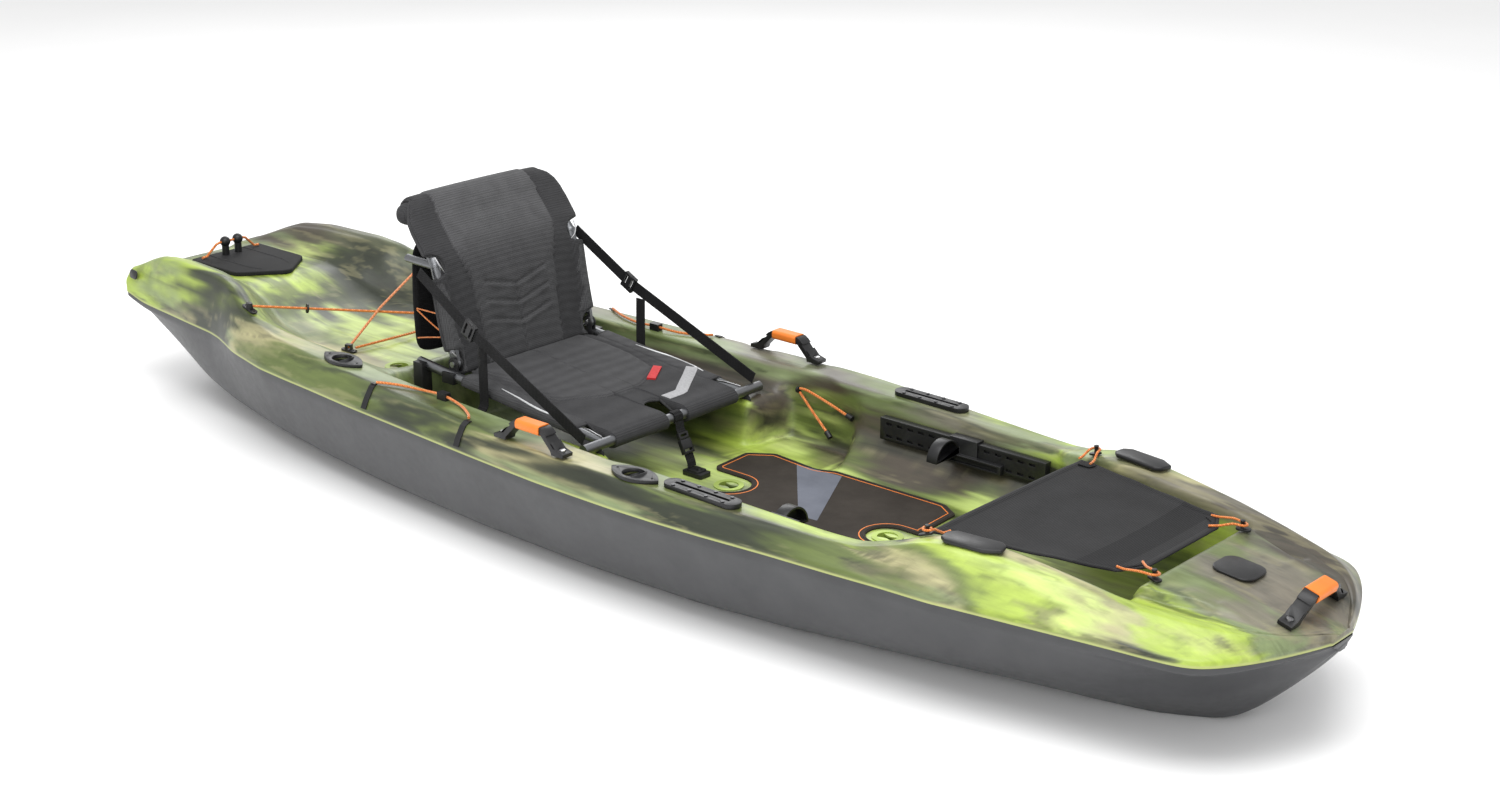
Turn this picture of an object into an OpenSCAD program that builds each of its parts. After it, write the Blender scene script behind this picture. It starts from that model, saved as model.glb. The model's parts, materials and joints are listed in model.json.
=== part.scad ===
// Sit-on-top fishing kayak with frame seat.
// X points to the bow, Y to port, Z up. Origin: middle of the hull's flat bottom. Millimetres.

/* [Shells] */
// Wall thickness of the hull shell
hull_t = 4; // [3:0.5:5]
// Wall thickness of the deck shell
deck_t = 4; // [3:0.5:5]
// Height of the cockpit floor above the hull bottom
floor_z = 120; // [116:1:122]
// Bore radius of the scupper tubes
scupper_r = 21; // [15:1:23]

/* [Seat] */
// Radius of the seat's aluminium tubes
tube_r = 11; // [9:0.5:11]
// Distance of the seat's side tubes from the centreline
tube_y = 214; // [213:1:215]
// Height of the back hinge
hinge_z = 304; // [304:1:306]
// Width of the side webbing
web_w = 26; // [20:1:28]

/* [Hardware] */
// Inner radius of the rod holders
rod_r = 22; // [20:0.5:23]
// Diameter of the elastic cord
cord_d = 6; // [5:0.5:7]
// Length of a gear track
track_l = 185; // [170:5:190]

/* [Hidden] */
$fn = 48;
dark = [0.27, 0.27, 0.28]; blk = [0.05, 0.05, 0.055]; org = [0.95, 0.42, 0.08];
camo = [0.55, 0.66, 0.28]; alu = [0.42, 0.43, 0.45]; cloth = [0.24, 0.24, 0.25];

// ---------- table of offsets: value against x ----------
// half-breadth and height of the seam
SB = [[-1600,222],[-1570,222],[-1540,225],[-1500,231],[-1400,243],[-1300,256],[-1200,268],[-1150,281],
  [-1100,300],[-1050,320],[-1000,333],[-900,356],[-800,366],[-700,374],[-560,388],[-340,404],[-135,419],
  [0,427],[80,431],[180,432],[276,432],[390,428],[500,420],[640,406],[800,394],[1000,375],[1172,338],
  [1328,309],[1400,298],[1450,287],[1480,272],[1500,252],[1525,216],[1546,180],[1565,139],[1580,100],
  [1592,66],[1600,40]];
SZ = [[-1600,234],[-1570,226],[-1540,221],[-1500,220],[-1000,220],[-700,219],[0,218],[900,218],
  [1050,215],[1172,211],[1328,208],[1450,206],[1600,203]];
// outer edge of the gunwale crown
GY = [[-1600,205],[-1560,208],[-1500,216],[-1446,225],[-1350,240],[-1200,250],[-1150,256],[-1100,270],
  [-1050,288],[-1000,303],[-900,326],[-800,338],[-700,348],[-560,362],[-340,380],[-135,398],[80,411],
  [200,412],[276,411],[390,402],[500,390],[640,378],[740,370],[820,358],[880,336],[950,318],[1050,301],
  [1150,287],[1250,273],[1350,255],[1450,226],[1500,200],[1540,160],[1570,114],[1590,66],[1600,30]];
GZ = [[-1600,293],[-1580,300],[-1540,316],[-1500,333],[-1446,352],[-1350,361],[-1180,360],[-1120,350],
  [-1080,333],[-1050,318],[-1000,302],[-900,291],[-700,284],[-500,279],[-200,275],[0,274],[200,273],
  [400,271],[600,267],[740,264],[820,266],[880,279],[940,297],[1000,302],[1050,301],[1150,292],
  [1250,281],[1350,267],[1450,256],[1520,246],[1560,237],[1590,226],[1600,221]];
// inner edge of the gunwale
IY = [[-1600,160],[-1540,178],[-1500,186],[-1446,194],[-1350,203],[-1200,212],[-1120,232],[-1050,252],
  [-1000,262],[-900,270],[-620,280],[-540,290],[-340,302],[-158,310],[0,320],[94,330],[200,334],
  [235,323],[330,321],[531,321],[673,318],[803,312],[870,286],[920,262],[1000,246],[1050,238],
  [1100,233],[1200,231],[1300,229],[1400,206],[1515,160],[1560,108],[1590,42],[1600,20]];
// flat floor (or platform) half-width and height
Y2 = [[-1600,100],[-1240,110],[-1200,118],[-1150,130],[-1050,150],[-900,180],[-720,200],[-600,202],
  [-545,196],[-520,182],[60,188],[80,190],[94,300],[200,302],[288,296],[304,215],[850,215],[905,210],
  [1000,195],[1100,185],[1270,170],[1290,174],[1310,172],[1400,135],[1450,126],[1515,126],[1560,80],
  [1590,24],[1600,10]];
Z2 = [[-1600,282],[-1580,287],[-1540,298],[-1500,302],[-1240,302],[-1200,293],[-1150,274],[-1100,254],
  [-1050,240],[-1000,235],[-608,235],[-592,250],[-580,262],[-540,262],[-515,floor_z],[1272,floor_z],
  [1292,270],[1300,279],[1400,272],[1450,264],[1515,247],[1543,239],[1570,231],[1590,223.5],[1600,219]];
// foot of the wall
Y3 = [[-1600,112],[-1240,124],[-1100,155],[-900,192],[-720,209],[-620,211],[-520,200],[60,200],[80,202],
  [94,311],[200,313],[288,306],[304,229],[850,229],[905,224],[1000,208],[1100,196],[1270,180],
  [1290,182],[1310,182],[1400,145],[1450,136],[1515,138],[1560,90],[1590,30],[1600,13]];
Z3 = [[-1600,284],[-1580,288],[-1540,299],[-1500,303],[-1240,304],[-1150,280],[-1100,258],[-1050,243],
  [-900,238],[-608,238],[-592,252],[-580,263],[-540,263],[-515,floor_z+8],[1272,floor_z+8],[1292,268],
  [1300,277],[1400,270],[1515,247],[1590,224],[1600,219]];
// first break of the wall (inner edge of the seat ledge)
Y4 = [[-1600,124],[-1500,150],[-1240,150],[-1100,176],[-900,204],[-620,220],[-540,220],[-515,208],
  [60,214],[80,216],[94,318],[200,320],[288,312],[304,250],[850,250],[905,238],[1000,221],[1100,206],
  [1270,192],[1292,190],[1310,188],[1400,151],[1515,146],[1560,98],[1590,36],[1600,15]];
Z4 = [[-1600,287],[-1580,291],[-1500,310],[-1240,318],[-1150,300],[-1050,254],[-900,246],[-608,246],
  [-592,256],[-580,264],[-540,264],[-515,216],[60,216],[80,212],[94,150],[288,150],[304,142],[1262,148],
  [1280,170],[1292,262],[1310,258],[1400,252],[1515,246],[1590,224],[1600,219]];
// second break (outer edge of the seat ledge)
Y5 = [[-1600,134],[-1500,162],[-1446,170],[-1240,180],[-1100,203],[-900,226],[-620,240],[-540,250],
  [-515,286],[60,294],[80,296],[94,324],[200,326],[288,316],[304,302],[673,301],[803,298],[850,282],
  [905,248],[1000,232],[1100,219],[1270,214],[1310,214],[1400,184],[1515,152],[1560,102],[1590,38],
  [1600,17]];
Z5 = [[-1600,290],[-1580,295],[-1500,320],[-1446,334],[-1240,338],[-1120,322],[-1050,275],[-900,258],
  [-608,258],[-580,268],[-540,268],[-515,222],[80,222],[94,200],[288,200],[304,190],[850,190],[905,200],
  [1262,205],[1280,215],[1292,262],[1310,258],[1400,250],[1515,246],[1590,224],[1600,219]];
// third break, high on the wall
Y6 = [[-1600,148],[-1500,175],[-1446,184],[-1240,198],[-1120,220],[-1000,240],[-900,250],[-620,262],
  [-540,274],[-515,298],[0,314],[80,322],[94,327],[200,330],[288,319],[304,315],[673,312],[803,307],
  [870,280],[920,257],[1000,240],[1100,228],[1200,226],[1310,224],[1400,199],[1515,156],[1560,105],
  [1590,40],[1600,18]];
Z6 = [[-1600,291],[-1580,297],[-1500,329],[-1446,346],[-1350,354],[-1200,353],[-1120,339],[-1050,300],
  [-1000,284],[-900,274],[-620,270],[-540,271],[-515,250],[0,246],[80,248],[288,250],[304,240],
  [850,245],[905,262],[1262,266],[1310,264],[1400,256],[1515,247],[1590,225],[1600,219.5]];
// keel height, half-width of the flat bottom, chine
KZ = [[-1600,182],[-1560,130],[-1500,74],[-1400,28],[-1300,7],[-1220,0],[1350,0],[1400,4],[1430,13],
  [1466,38],[1512,82],[1550,122],[1576,152],[1592,173],[1600,183]];
PB = [[-1600,60],[-1500,90],[-1320,140],[-1095,190],[-960,210],[-742,245],[-530,270],[-200,292],
  [118,298],[400,286],[610,255],[800,205],[1010,165],[1205,130],[1300,106],[1374,66],[1430,46],
  [1500,36],[1560,30],[1600,16]];
CY = [[-1600,160],[-1500,186],[-1400,206],[-1320,228],[-1200,250],[-1095,264],[-960,291],[-742,320],
  [-530,341],[-200,363],[118,369],[400,361],[610,346],[800,335],[990,320],[1205,285],[1310,252],
  [1384,218],[1470,160],[1550,92],[1590,38],[1600,20]];
CZ = [[-1600,196],[-1500,152],[-1400,126],[-1320,110],[-1200,90],[-1095,75],[-960,65],[-742,58],
  [-530,54],[-200,52],[118,52],[400,55],[610,62],[800,75],[990,93],[1205,114],[1310,130],[1384,142],
  [1470,158],[1550,176],[1590,187],[1600,192]];

XD = [-1600,-1580,-1540,-1500,-1446,-1350,-1240,-1180,-1150,-1120,-1080,-1050,-1000,-900,-760,-608,-592,
  -580,-540,-515,-420,-200,0,80,94,200,235,288,304,450,600,740,803,850,880,915,950,1000,1100,1200,1272,
  1292,1310,1355,1400,1450,1480,1500,1525,1546,1565,1580,1592,1600];
XH = [-1600,-1570,-1540,-1500,-1460,-1400,-1320,-1260,-1180,-1150,-1095,-1050,-960,-742,-530,-200,118,400,
  610,800,1010,1205,1300,1350,1400,1430,1466,1500,1525,1546,1565,1580,1592,1600];

function at(x, t) = lookup(x, t);
function mn(a, b) = min(a, b);
// half of a deck section, centreline to seam
function dhalf(x) = let (iy = at(x, IY), gy = at(x, GY), gz = at(x, GZ), sb = at(x, SB), sz = at(x, SZ),
    e = mn(9, 0.28 * (gy - iy)), y2 = at(x, Y2), z2 = at(x, Z2))
  [[0, z2], [0.5 * y2, z2], [y2, z2], [at(x, Y3), at(x, Z3)], [at(x, Y4), at(x, Z4)],
   [at(x, Y5), at(x, Z5)], [at(x, Y6), at(x, Z6)], [iy, gz - 5], [iy + e, gz - 1], [gy - e, gz],
   [gy, gz - 5], [gy + 0.45 * (sb - gy) + (x < -1500 ? 10 : 5), gz - 5 - 0.45 * (gz - 5 - sz)], [sb, sz + mn(12, 0.4 * (gz - 5 - sz))], [sb, sz + 0.5]];
// half of a hull section, keel to seam
function hhalf(x) = let (k = at(x, KZ), p = at(x, PB), cy = at(x, CY), cz = at(x, CZ), sb = at(x, SB) - 2,
    sz = at(x, SZ) - 0.5, d = max(0, 12 - k) * mn(1, p / 200))
  [[0, k], [0.25 * p, k], [0.42 * p, k + d], [0.6 * p, k + 0.5 * d], [0.7 * p, k + 0.02 * mn(k, 70)],
   [0.9 * p, k + 0.05 * mn(k, 70)], [p + 0.12 * (cy - p), k + 0.14 * (cz - k) + 1], [p + 0.6 * (cy - p), k + 0.52 * (cz - k)],
   [cy, cz], [cy + 0.34 * (sb - cy) + 2, cz + 0.3 * (sz - cz)], [cy + 0.72 * (sb - cy) + 2, cz + 0.66 * (sz - cz)],
   [sb, sz - mn(14, 0.34 * (sz - cz))], [sb, sz]];
function full(h) = let (n = len(h)) [for (j = [0 : 2 * n - 2]) j < n ? [-h[n - 1 - j][0], h[n - 1 - j][1]]
   : [h[j - n + 1][0], h[j - n + 1][1]]];
// offset of an open section line by t along its own normals (s = 1 below a deck, -1 above a hull)
function inset(p, t, s, lim) = let (n = len(p)) [for (j = [0 : n - 1])
   let (a = p[max(0, j - 1)], b = p[min(n - 1, j + 1)], d = b - a, l = norm(d), nn = (j == 0) ? [1, 0] : (j == n - 1) ? [-1, 0] : s * [d[1], -d[0]] / l, r = p[j] + nn * t)
   j > 3 && j < n - 4 ? r : j == 0 || j == n - 1 ? [r[0], lim] : [r[0], s > 0 ? max(r[1], lim + 0.5) : min(r[1], lim - 0.5)]];
function xfac(i, X) = let (a = X[max(0, i - 1)], b = X[min(len(X) - 1, i + 1)], m = (at(b, SB) - at(a, SB)) / (b - a)) min(1.5, sqrt(1 + m * m));

// closed shell between an outer and an inner grid, with end walls and a rim along the seam
module shell(X, O, I, t, up) {
  n = len(X); m = len(O[0]);
  pts = concat([for (i = [0 : n - 1]) for (j = [0 : m - 1]) [X[i], O[i][j][0], O[i][j][1]]],
    [for (i = [0 : n - 1]) for (j = [0 : m - 1]) [i == 0 ? X[0] + t : i == n - 1 ? X[n - 1] - t : X[i], I[i][j][0], I[i][j][1]]]);
  q = n * m;
  of = [for (i = [0 : n - 2]) for (j = [0 : m - 2]) for (k = [0, 1])
    k == 0 ? [i * m + j, (i + 1) * m + j, (i + 1) * m + j + 1] : [i * m + j, (i + 1) * m + j + 1, i * m + j + 1]];
  inr = [for (f = of) [q + f[2], q + f[1], q + f[0]]];
  rim = concat([for (i = [0 : n - 2]) for (k = [0, 1]) k == 0 ? [i * m, q + (i + 1) * m, (i + 1) * m] : [i * m, q + i * m, q + (i + 1) * m]],
    [for (i = [0 : n - 2]) for (k = [0, 1]) k == 0 ? [i * m + m - 1, (i + 1) * m + m - 1, q + (i + 1) * m + m - 1]
      : [i * m + m - 1, q + (i + 1) * m + m - 1, q + i * m + m - 1]]);
  e = (n - 1) * m;
  ends = [[for (j = [0 : m - 1]) j], [for (j = [m - 1 : -1 : 0]) e + j],
    [for (j = [m - 1 : -1 : 0]) q + j], [for (j = [0 : m - 1]) q + e + j]];
  chord = [[0, m - 1, q + m - 1], [0, q + m - 1, q], [e, q + e + m - 1, e + m - 1], [e, q + e, q + e + m - 1]];
  fs = concat(of, inr, rim, ends, chord);
  polyhedron(points = pts, faces = up ? fs : [for (f = fs) [for (k = [len(f) - 1 : -1 : 0]) f[k]]], convexity = 10);
}
module deck_grid() {
  O = [for (x = XD) full(dhalf(x))];
  I = [for (i = [0 : len(XD) - 1]) inset(O[i], deck_t * xfac(i, XD) * mn(1, at(XD[i], SB) / 110), 1, at(XD[i], SZ) + 0.5)];
  shell(XD, O, I, deck_t, true);
}
module hull_grid() {
  O = [for (x = XH) full(hhalf(x))];
  I = [for (i = [0 : len(XH) - 1]) inset(O[i], hull_t * xfac(i, XH) * mn(1, at(XH[i], SB) / 130), -1, at(XH[i], SZ) - 0.5)];
  shell(XH, O, I, hull_t, false);
}
// height of the deck's top surface at a point
function dz(x, y) = lookup(abs(y), dhalf(x));

// ---------- sweeps ----------
function unit(v) = v / max(norm(v), 0.000001);
// one Catmull-Rom point of the open line P at parameter u
function cr(P, u) = let (n = len(P), i = min(floor(u), n - 2), f = u - i, a = P[max(0, i - 1)], b = P[i],
   c = P[i + 1], d = P[min(n - 1, i + 2)])
  0.5 * ((2 * b) + (c - a) * f + (2 * a - 5 * b + 4 * c - d) * f * f + (3 * b - 3 * c + d - a) * f * f * f);
function smooth(P, k) = [for (u = [0 : (len(P) - 1) * k]) cr(P, u / k)];
function tang(P, i) = unit(P[min(len(P) - 1, i + 1)] - P[max(0, i - 1)]);
// tube of radius r along the points P
module tube(P, r, n = 8) {
  c = len(P);
  pts = [for (i = [0 : c - 1]) let (t = tang(P, i), h = abs(t[2]) > 0.9 ? [0, 1, 0] : [0, 0, 1], u = unit(cross(h, t)), v = cross(t, u))
    for (k = [0 : n - 1]) P[i] + r * (cos(360 * k / n) * u + sin(360 * k / n) * v)];
  fs = concat([for (i = [0 : c - 2]) for (k = [0 : n - 1]) for (s = [0, 1]) let (a = i * n + k, b = i * n + (k + 1) % n)
     s == 0 ? [a, a + n, b + n] : [a, b + n, b]], [[for (k = [0 : n - 1]) k]], [[for (k = [n - 1 : -1 : 0]) (c - 1) * n + k]]);
  polyhedron(points = pts, faces = fs, convexity = 6);
}
// flat webbing of width w and thickness t along P, its width along wd
module web(P, w, t, wd) {
  c = len(P);
  pts = [for (i = [0 : c - 1]) let (g = tang(P, i), u = unit(wd - (wd * g) * g), v = cross(g, u))
    for (k = [0 : 3]) P[i] + (k == 0 || k == 3 ? -1 : 1) * u * w / 2 + (k < 2 ? -1 : 1) * v * t / 2];
  fs = concat([for (i = [0 : c - 2]) for (k = [0 : 3]) for (s = [0, 1]) let (a = i * 4 + k, b = i * 4 + (k + 1) % 4)
     s == 0 ? [a, a + 4, b + 4] : [a, b + 4, b]], [[0, 1, 2, 3]], [[for (k = [3 : -1 : 0]) (c - 1) * 4 + k]]);
  polyhedron(points = pts, faces = fs, convexity = 4);
}
module rod(a, b, r) { d = b - a; l = norm(d);
  translate(a) rotate([0, acos(d[2] / l), atan2(d[1], d[0])]) cylinder(r = r, h = l); }
module rrect(l, w, r) { square([l - 2 * r, w], center = true); square([l, w - 2 * r], center = true);
  for (a = [-1, 1]) for (b = [-1, 1]) translate([a * (l / 2 - r), b * (w / 2 - r)]) circle(r); }
module xz(y0, y1) { translate([0, y1, 0]) rotate([90, 0, 0]) linear_extrude(y1 - y0) children(); }
module both() { children(); mirror([0, 1, 0]) children(); }
module side(s) { if (s < 0) children(); else mirror([0, 1, 0]) children(); }

// ---------- shells ----------
SC = [[201, 0], [621, 0], [-645, 163], [-645, -163]];
// rod holders: x, y, tilt of the tube towards the stern, depth, slope of the deck
RH = [[292, -374, 22, 120, 0.6], [-652, -314, 22, 190, 2.1], [-652, 314, 22, 190, 2.1]];
module rod_axis(h) translate([h[0], h[1], dz(h[0], h[1]) + 0.3]) rotate([0, -h[2], 0]) children();
module hull_shell() { color(dark) difference() { hull_grid();
  for (s = SC) translate([s[0], s[1], -5]) cylinder(r = 26.2, h = 40);
  translate([-1620, 0, 208]) rotate([0, 90, 0]) cylinder(r = 14.2, h = 40); } }
module deck_shell() { color(camo) difference() { deck_grid();
  for (s = SC) translate([s[0], s[1], s[0] < 0 ? 215 : 90]) cylinder(r = 26.2, h = 60);
  for (h = RH) rod_axis(h) translate([0, 0, -60]) cylinder(r = rod_r + 3.4, h = 100); } }
module scupper_tubes() { color(camo) for (s = SC) translate([s[0], s[1], 0.3]) difference() {
  h = dz(s[0], s[1]); union() { cylinder(r = 26, h = h); translate([0, 0, h]) cylinder(r = 32, h = 2); }
  translate([0, 0, -1]) cylinder(r = scupper_r, h = 300); } }
module foam_blocks() { color([0.93, 0.93, 0.9]) {
  both() translate([330, 60, 20]) cube([230, 110, 92]);
  both() translate([-380, 60, 20]) cube([230, 110, 92]);
  translate([1305, -50, 60]) cube([90, 100, 185]); translate([-1440, -60, 110]) cube([150, 120, 180]); } }
module drain_socket() { color(blk) translate([-1603, 0, 208]) rotate([0, 90, 0]) difference() {
  union() { cylinder(r = 14, h = 22); translate([0, 0, -0.5]) cylinder(r = 20, h = 3); }
  translate([0, 0, -2]) cylinder(r = 9.05, h = 20); } }
module drain_plug() { color(blk) translate([-1603, 0, 208]) rotate([0, 90, 0]) difference() {
  union() { translate([0, 0, -0.9]) cylinder(r = 9, h = 14); translate([0, 0, -6]) cylinder(r = 16, h = 5.2);
    translate([-2.5, -13, -14]) cube([5, 26, 9]); } translate([0, 0, 3]) cylinder(r = 5, h = 20); } }

// ---------- cockpit ----------
module floor_mat() { color([0.16, 0.14, 0.12]) translate([0, 0, floor_z + 0.6]) linear_extrude(4.6) difference() {
  polygon([[112, 60], [106, 160], [160, 200], [284, 187], [326, 205], [612, 205], [656, 177], [664, 70],
    [640, -20], [664, -70], [656, -177], [612, -205], [326, -205], [284, -187], [160, -200], [106, -160], [112, -60], [150, -40], [150, 40]]);
  translate([201, 0]) circle(48); translate([125, -48]) square([76, 96]);
  translate([621, 0]) circle(44); translate([621, -44]) square([76, 88]); } }
module rail_body() translate([376, 0, 0]) difference() {
  rotate([90, 0, 90]) linear_extrude(420) polygon([[-284, 190], [-284, 238], [-303, 238], [-294, 190]]);
  for (i = [0 : 13]) for (z = [197, 224]) translate([16 + i * 28, -292, z]) cube([15, 10, 6]); }
module side_rail_starboard() { color(blk) rail_body(); }
module side_rail_port() { color(blk) mirror([0, 1, 0]) rail_body(); }
// holder that hooks over the rail and slides along it: face plate, arm, arch with a back
module holder() { translate([560, -283.6, 196]) cube([70, 4, 46.6]);
  translate([560, -304, 238.5]) cube([70, 24, 4.1]);
  translate([560, -283.6, 190]) difference() { cube([136, 13, 19]); translate([8, 5, 4]) cube([120, 9, 11]); }
  translate([560, -243, 206]) rotate([90, 0, 90]) difference() { linear_extrude(26) intersection() { circle(40.6); translate([-50, 0]) square([100, 60]); }
    translate([0, 0, 4]) linear_extrude(40) intersection() { circle(36.6); translate([-50, 4]) square([100, 60]); } } }
module sliding_holder_starboard() { color(blk) holder(); }
module sliding_holder_port() { color(blk) mirror([0, 1, 0]) holder(); }

// ---------- handles ----------
module handle_profile() difference() {
  polygon([[-98, 0.6], [-99, 8], [-80, 13], [-48, 44], [-38, 50], [38, 50], [48, 44], [80, 13], [99, 8], [98, 0.6],
    [66, 0.6], [64, 8], [37, 35], [-37, 35], [-64, 8], [-66, 0.6]]);
  for (s = [-1, 1]) polygon([[s * 72, 15], [s * 51, 36], [s * 55, 38], [s * 77, 15]]); }
module handle_body() difference() { xz(-14, 14) handle_profile();
  for (s = [-1, 1]) translate([s * 84, 0, -2]) { cylinder(r = 3.2, h = 20); translate([0, 0, 9]) cylinder(r = 7, h = 30); }
 }
module handle_grip() difference() { translate([-33, 0, 42.5]) rotate([0, 90, 0]) linear_extrude(66) rrect(21, 34, 8);
  translate([-40, -14.1, 34.9]) cube([80, 28.2, 15.2]); }
module hscrews() for (s = [-1, 1]) translate([s * 84, 0, -14]) { cylinder(r = 3, h = 24); translate([0, 0, 23.2]) cylinder(r = 6.5, h = 4); }
HS = [28, -392];
module at_side() translate([HS[0], HS[1], dz(HS[0], HS[1]) + 0.6]) children();
module at_bow() translate([1541, 0, dz(1541, 0) + 1.1]) rotate([0, 15.9, 0]) rotate([0, 0, 90]) children();
module handle_body_starboard() { color(blk) at_side() handle_body(); }
module handle_body_port() { color(blk) mirror([0, 1, 0]) at_side() handle_body(); }
module handle_body_bow() { color(blk) at_bow() handle_body(); }
module handle_grip_starboard() { color(org) at_side() handle_grip(); }
module handle_grip_port() { color(org) mirror([0, 1, 0]) at_side() handle_grip(); }
module handle_grip_bow() { color(org) at_bow() handle_grip(); }
module handle_screws() { color(blk) { both() at_side() hscrews(); at_bow() hscrews(); } }

// ---------- deck hardware ----------
TK = [454, -358];
module track() difference() {
  linear_extrude(9) rrect(track_l, 40, 19.9);
  translate([0, 0, 5.5]) linear_extrude(10) square([track_l - 46, 8.5], center = true);
  translate([0, 0, 2]) linear_extrude(4) square([track_l - 46, 18], center = true);
  for (i = [-1.5, -0.5, 0.5, 1.5]) for (s = [-1, 1]) translate([i * 42, s * 14, -1]) cylinder(r = 2.2, h = 20); }
module at_track() translate([TK[0], TK[1], dz(TK[0], TK[1]) + 0.8]) rotate([0, 0.6, 0]) children();
module gear_track_starboard() { color(blk) at_track() track(); }
module gear_track_port() { color(blk) mirror([0, 1, 0]) at_track() track(); }
module gear_track_screws() { color(alu) both() at_track() for (i = [-1.5, -0.5, 0.5, 1.5]) for (s = [-1, 1])
  translate([i * 42, s * 14, -12]) { cylinder(r = 2, h = 21); translate([0, 0, 21.2]) cylinder(r = 3.8, h = 1.6); translate([0, 0, 20.9]) cylinder(r = 2, h = 0.5); } }
module rod_holder(h) rod_axis(h) difference() {
  union() { rotate([0, h[2] + h[4], 0]) translate([0, 0, 0.9]) linear_extrude(7) intersection() {
      translate([0, 46.5]) circle(77.5); translate([0, -46.5]) circle(77.5); }
    translate([0, 0, -h[3]]) cylinder(r = rod_r + 3, h = h[3] + 4); }
  translate([0, 0, -h[3] + 5]) cylinder(r = rod_r, h = h[3] + 60);
  rotate([0, h[2] + h[4], 0]) for (s = [-1, 1]) translate([s * 46, 0, -2]) cylinder(r = 2.5, h = 20); }
module rod_holder_front() { color(blk) rod_holder(RH[0]); }
module rod_holder_aft_starboard() { color(blk) rod_holder(RH[1]); }
module rod_holder_aft_port() { color(blk) rod_holder(RH[2]); }
module pad() translate([1026, -275, dz(1026, -275) + 1.2]) rotate([1.5, 0.6, 7]) linear_extrude(9)
  polygon([[-62, -12], [-48, -25], [30, -25], [60, -10], [56, 14], [44, 24], [-48, 24], [-62, 12]]);
module deck_pad_starboard() { color(blk) pad(); }
module deck_pad_port() { color(blk) mirror([0, 1, 0]) pad(); }
module bow_plate() { color(blk) translate([1397, 0, dz(1397, 0) + 0.6]) rotate([0, 5.5, 0]) linear_extrude(5) rrect(84, 76, 24); }
module stern_plates() { color(blk) both() translate([-1560, -218.6, 285]) rotate([78.5, 0, -11.3]) translate([0, 0, 4.6]) linear_extrude(4) rrect(40, 22, 10.9); }

// ---------- front cover ----------
CP = [[904, 246], [1255, 172], [1284, 120]];
CVZ = 285;
module front_cover() { color([0.2, 0.2, 0.21]) translate([0, 0, CVZ]) rotate([0, 0.55, 0]) translate([0, 0, 8.6]) linear_extrude(3)
  polygon(concat(CP, [for (i = [2 : -1 : 0]) [CP[i][0], -CP[i][1]]])); }
function cz(x) = CVZ + 8.6 - (x) * sin(0.55) + 1.5;
// posts of the four hooks: x, y
HA4 = [920, -272]; HF4 = [1316, -149];
za = dz(HA4[0], HA4[1]) + 13.5; zf = dz(HF4[0], HF4[1]) + 13.5;
module loop_aft() tube(smooth([[937, -226, cz(937) + 4.2], [934, -244, cz(930) + 5], [929, -262, za - 1.5], [928, -274, za], [920, -280.4, za],
    [911.6, -275, za], [909.5, -262, za - 1.5], [905, -247, cz(905) + 5], [903.6, -238, cz(905) + 4.2]], 2), cord_d / 2 - 0.5);
module cover_loops_aft() { color(org) both() loop_aft(); }
module loop_fore() tube(smooth([[1246, -158, cz(1246) + 4.2], [1262, -160, cz(1262) + 4.4], [1290, -161, zf + 0.8], [1307, -158.2, zf], [1317, -157.2, zf],
    [1324, -152, zf], [1324.4, -145, zf], [1317, -140.8, zf], [1302, -137, zf + 0.4], [1284, -124, cz(1284) + 4.6], [1268, -110, cz(1268) + 4.2]], 2), cord_d / 2 - 0.5);
module cover_loops_fore() { color(org) both() loop_fore(); }
// flat foot that follows the deck's slope, upright post with a small head
module hook(p, z, ry, rz) { difference() { translate([p[0], p[1], z - 9.5]) rotate([0, ry, 0]) rotate([0, 0, rz]) translate([2, 0, -1.5]) linear_extrude(4) rrect(28, 16, 6); }
  translate([p[0], p[1], z - 9]) cylinder(r = 3.8, h = 17); translate([p[0], p[1], z + 5]) cylinder(r = 5, h = 3); }
module cover_hooks_aft() { color(blk) both() hook(HA4, za, -17, 200); }
module cover_hooks_fore() { color(blk) both() hook(HF4, zf, 4.5, -20); }

// ---------- stern and tank well ----------
module stern_cover() { color(blk) translate([0, 0, 303.2]) linear_extrude(9)
  polygon([[-1494, -104], [-1494, 104], [-1312, 104], [-1238, 10], [-1238, -10], [-1312, -104]]); }
module stern_tie_cord() { color(org) tube([[-1468, -86, 315.8], [-1468, -72, 317], [-1464, -44, 343], [-1462, -34, 346], [-1462, 34, 346],
   [-1464, 44, 343], [-1468, 72, 317], [-1468, 86, 315.8]], 3.2); }
module stern_toggles() { color(blk) for (s = [-1, 1]) translate([-1462, s * 19, 0]) difference() {
  union() { translate([0, 0, 346]) sphere(13); translate([0, 0, 312.9]) cylinder(r = 9, h = 30); }
  translate([0, -40, 346]) rotate([-90, 0, 0]) cylinder(r = 3.8, h = 80); } }
TA = [[-1035, -272], [-814, -167]];
function tz(p) = dz(p[0], p[1]) + 10;
module tank_cord() { color(org) {
  tube([[TA[0][0], TA[0][1], tz(TA[0])], [TA[1][0], -TA[1][1], tz(TA[1])]], cord_d / 2);
  tube([[TA[0][0], -TA[0][1], tz(TA[0])], [-898, 0, (tz(TA[0]) + tz(TA[1])) / 2 + 1], [TA[1][0], TA[1][1], tz(TA[1])]], cord_d / 2);
  tube([[TA[1][0] + 12, TA[1][1] + 10, tz(TA[1]) - 1], [-790, -60, 246], [-788, 0, 245], [-790, 60, 246], [TA[1][0] + 12, -TA[1][1] - 10, tz(TA[1]) - 1]], cord_d / 2); } }
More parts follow.
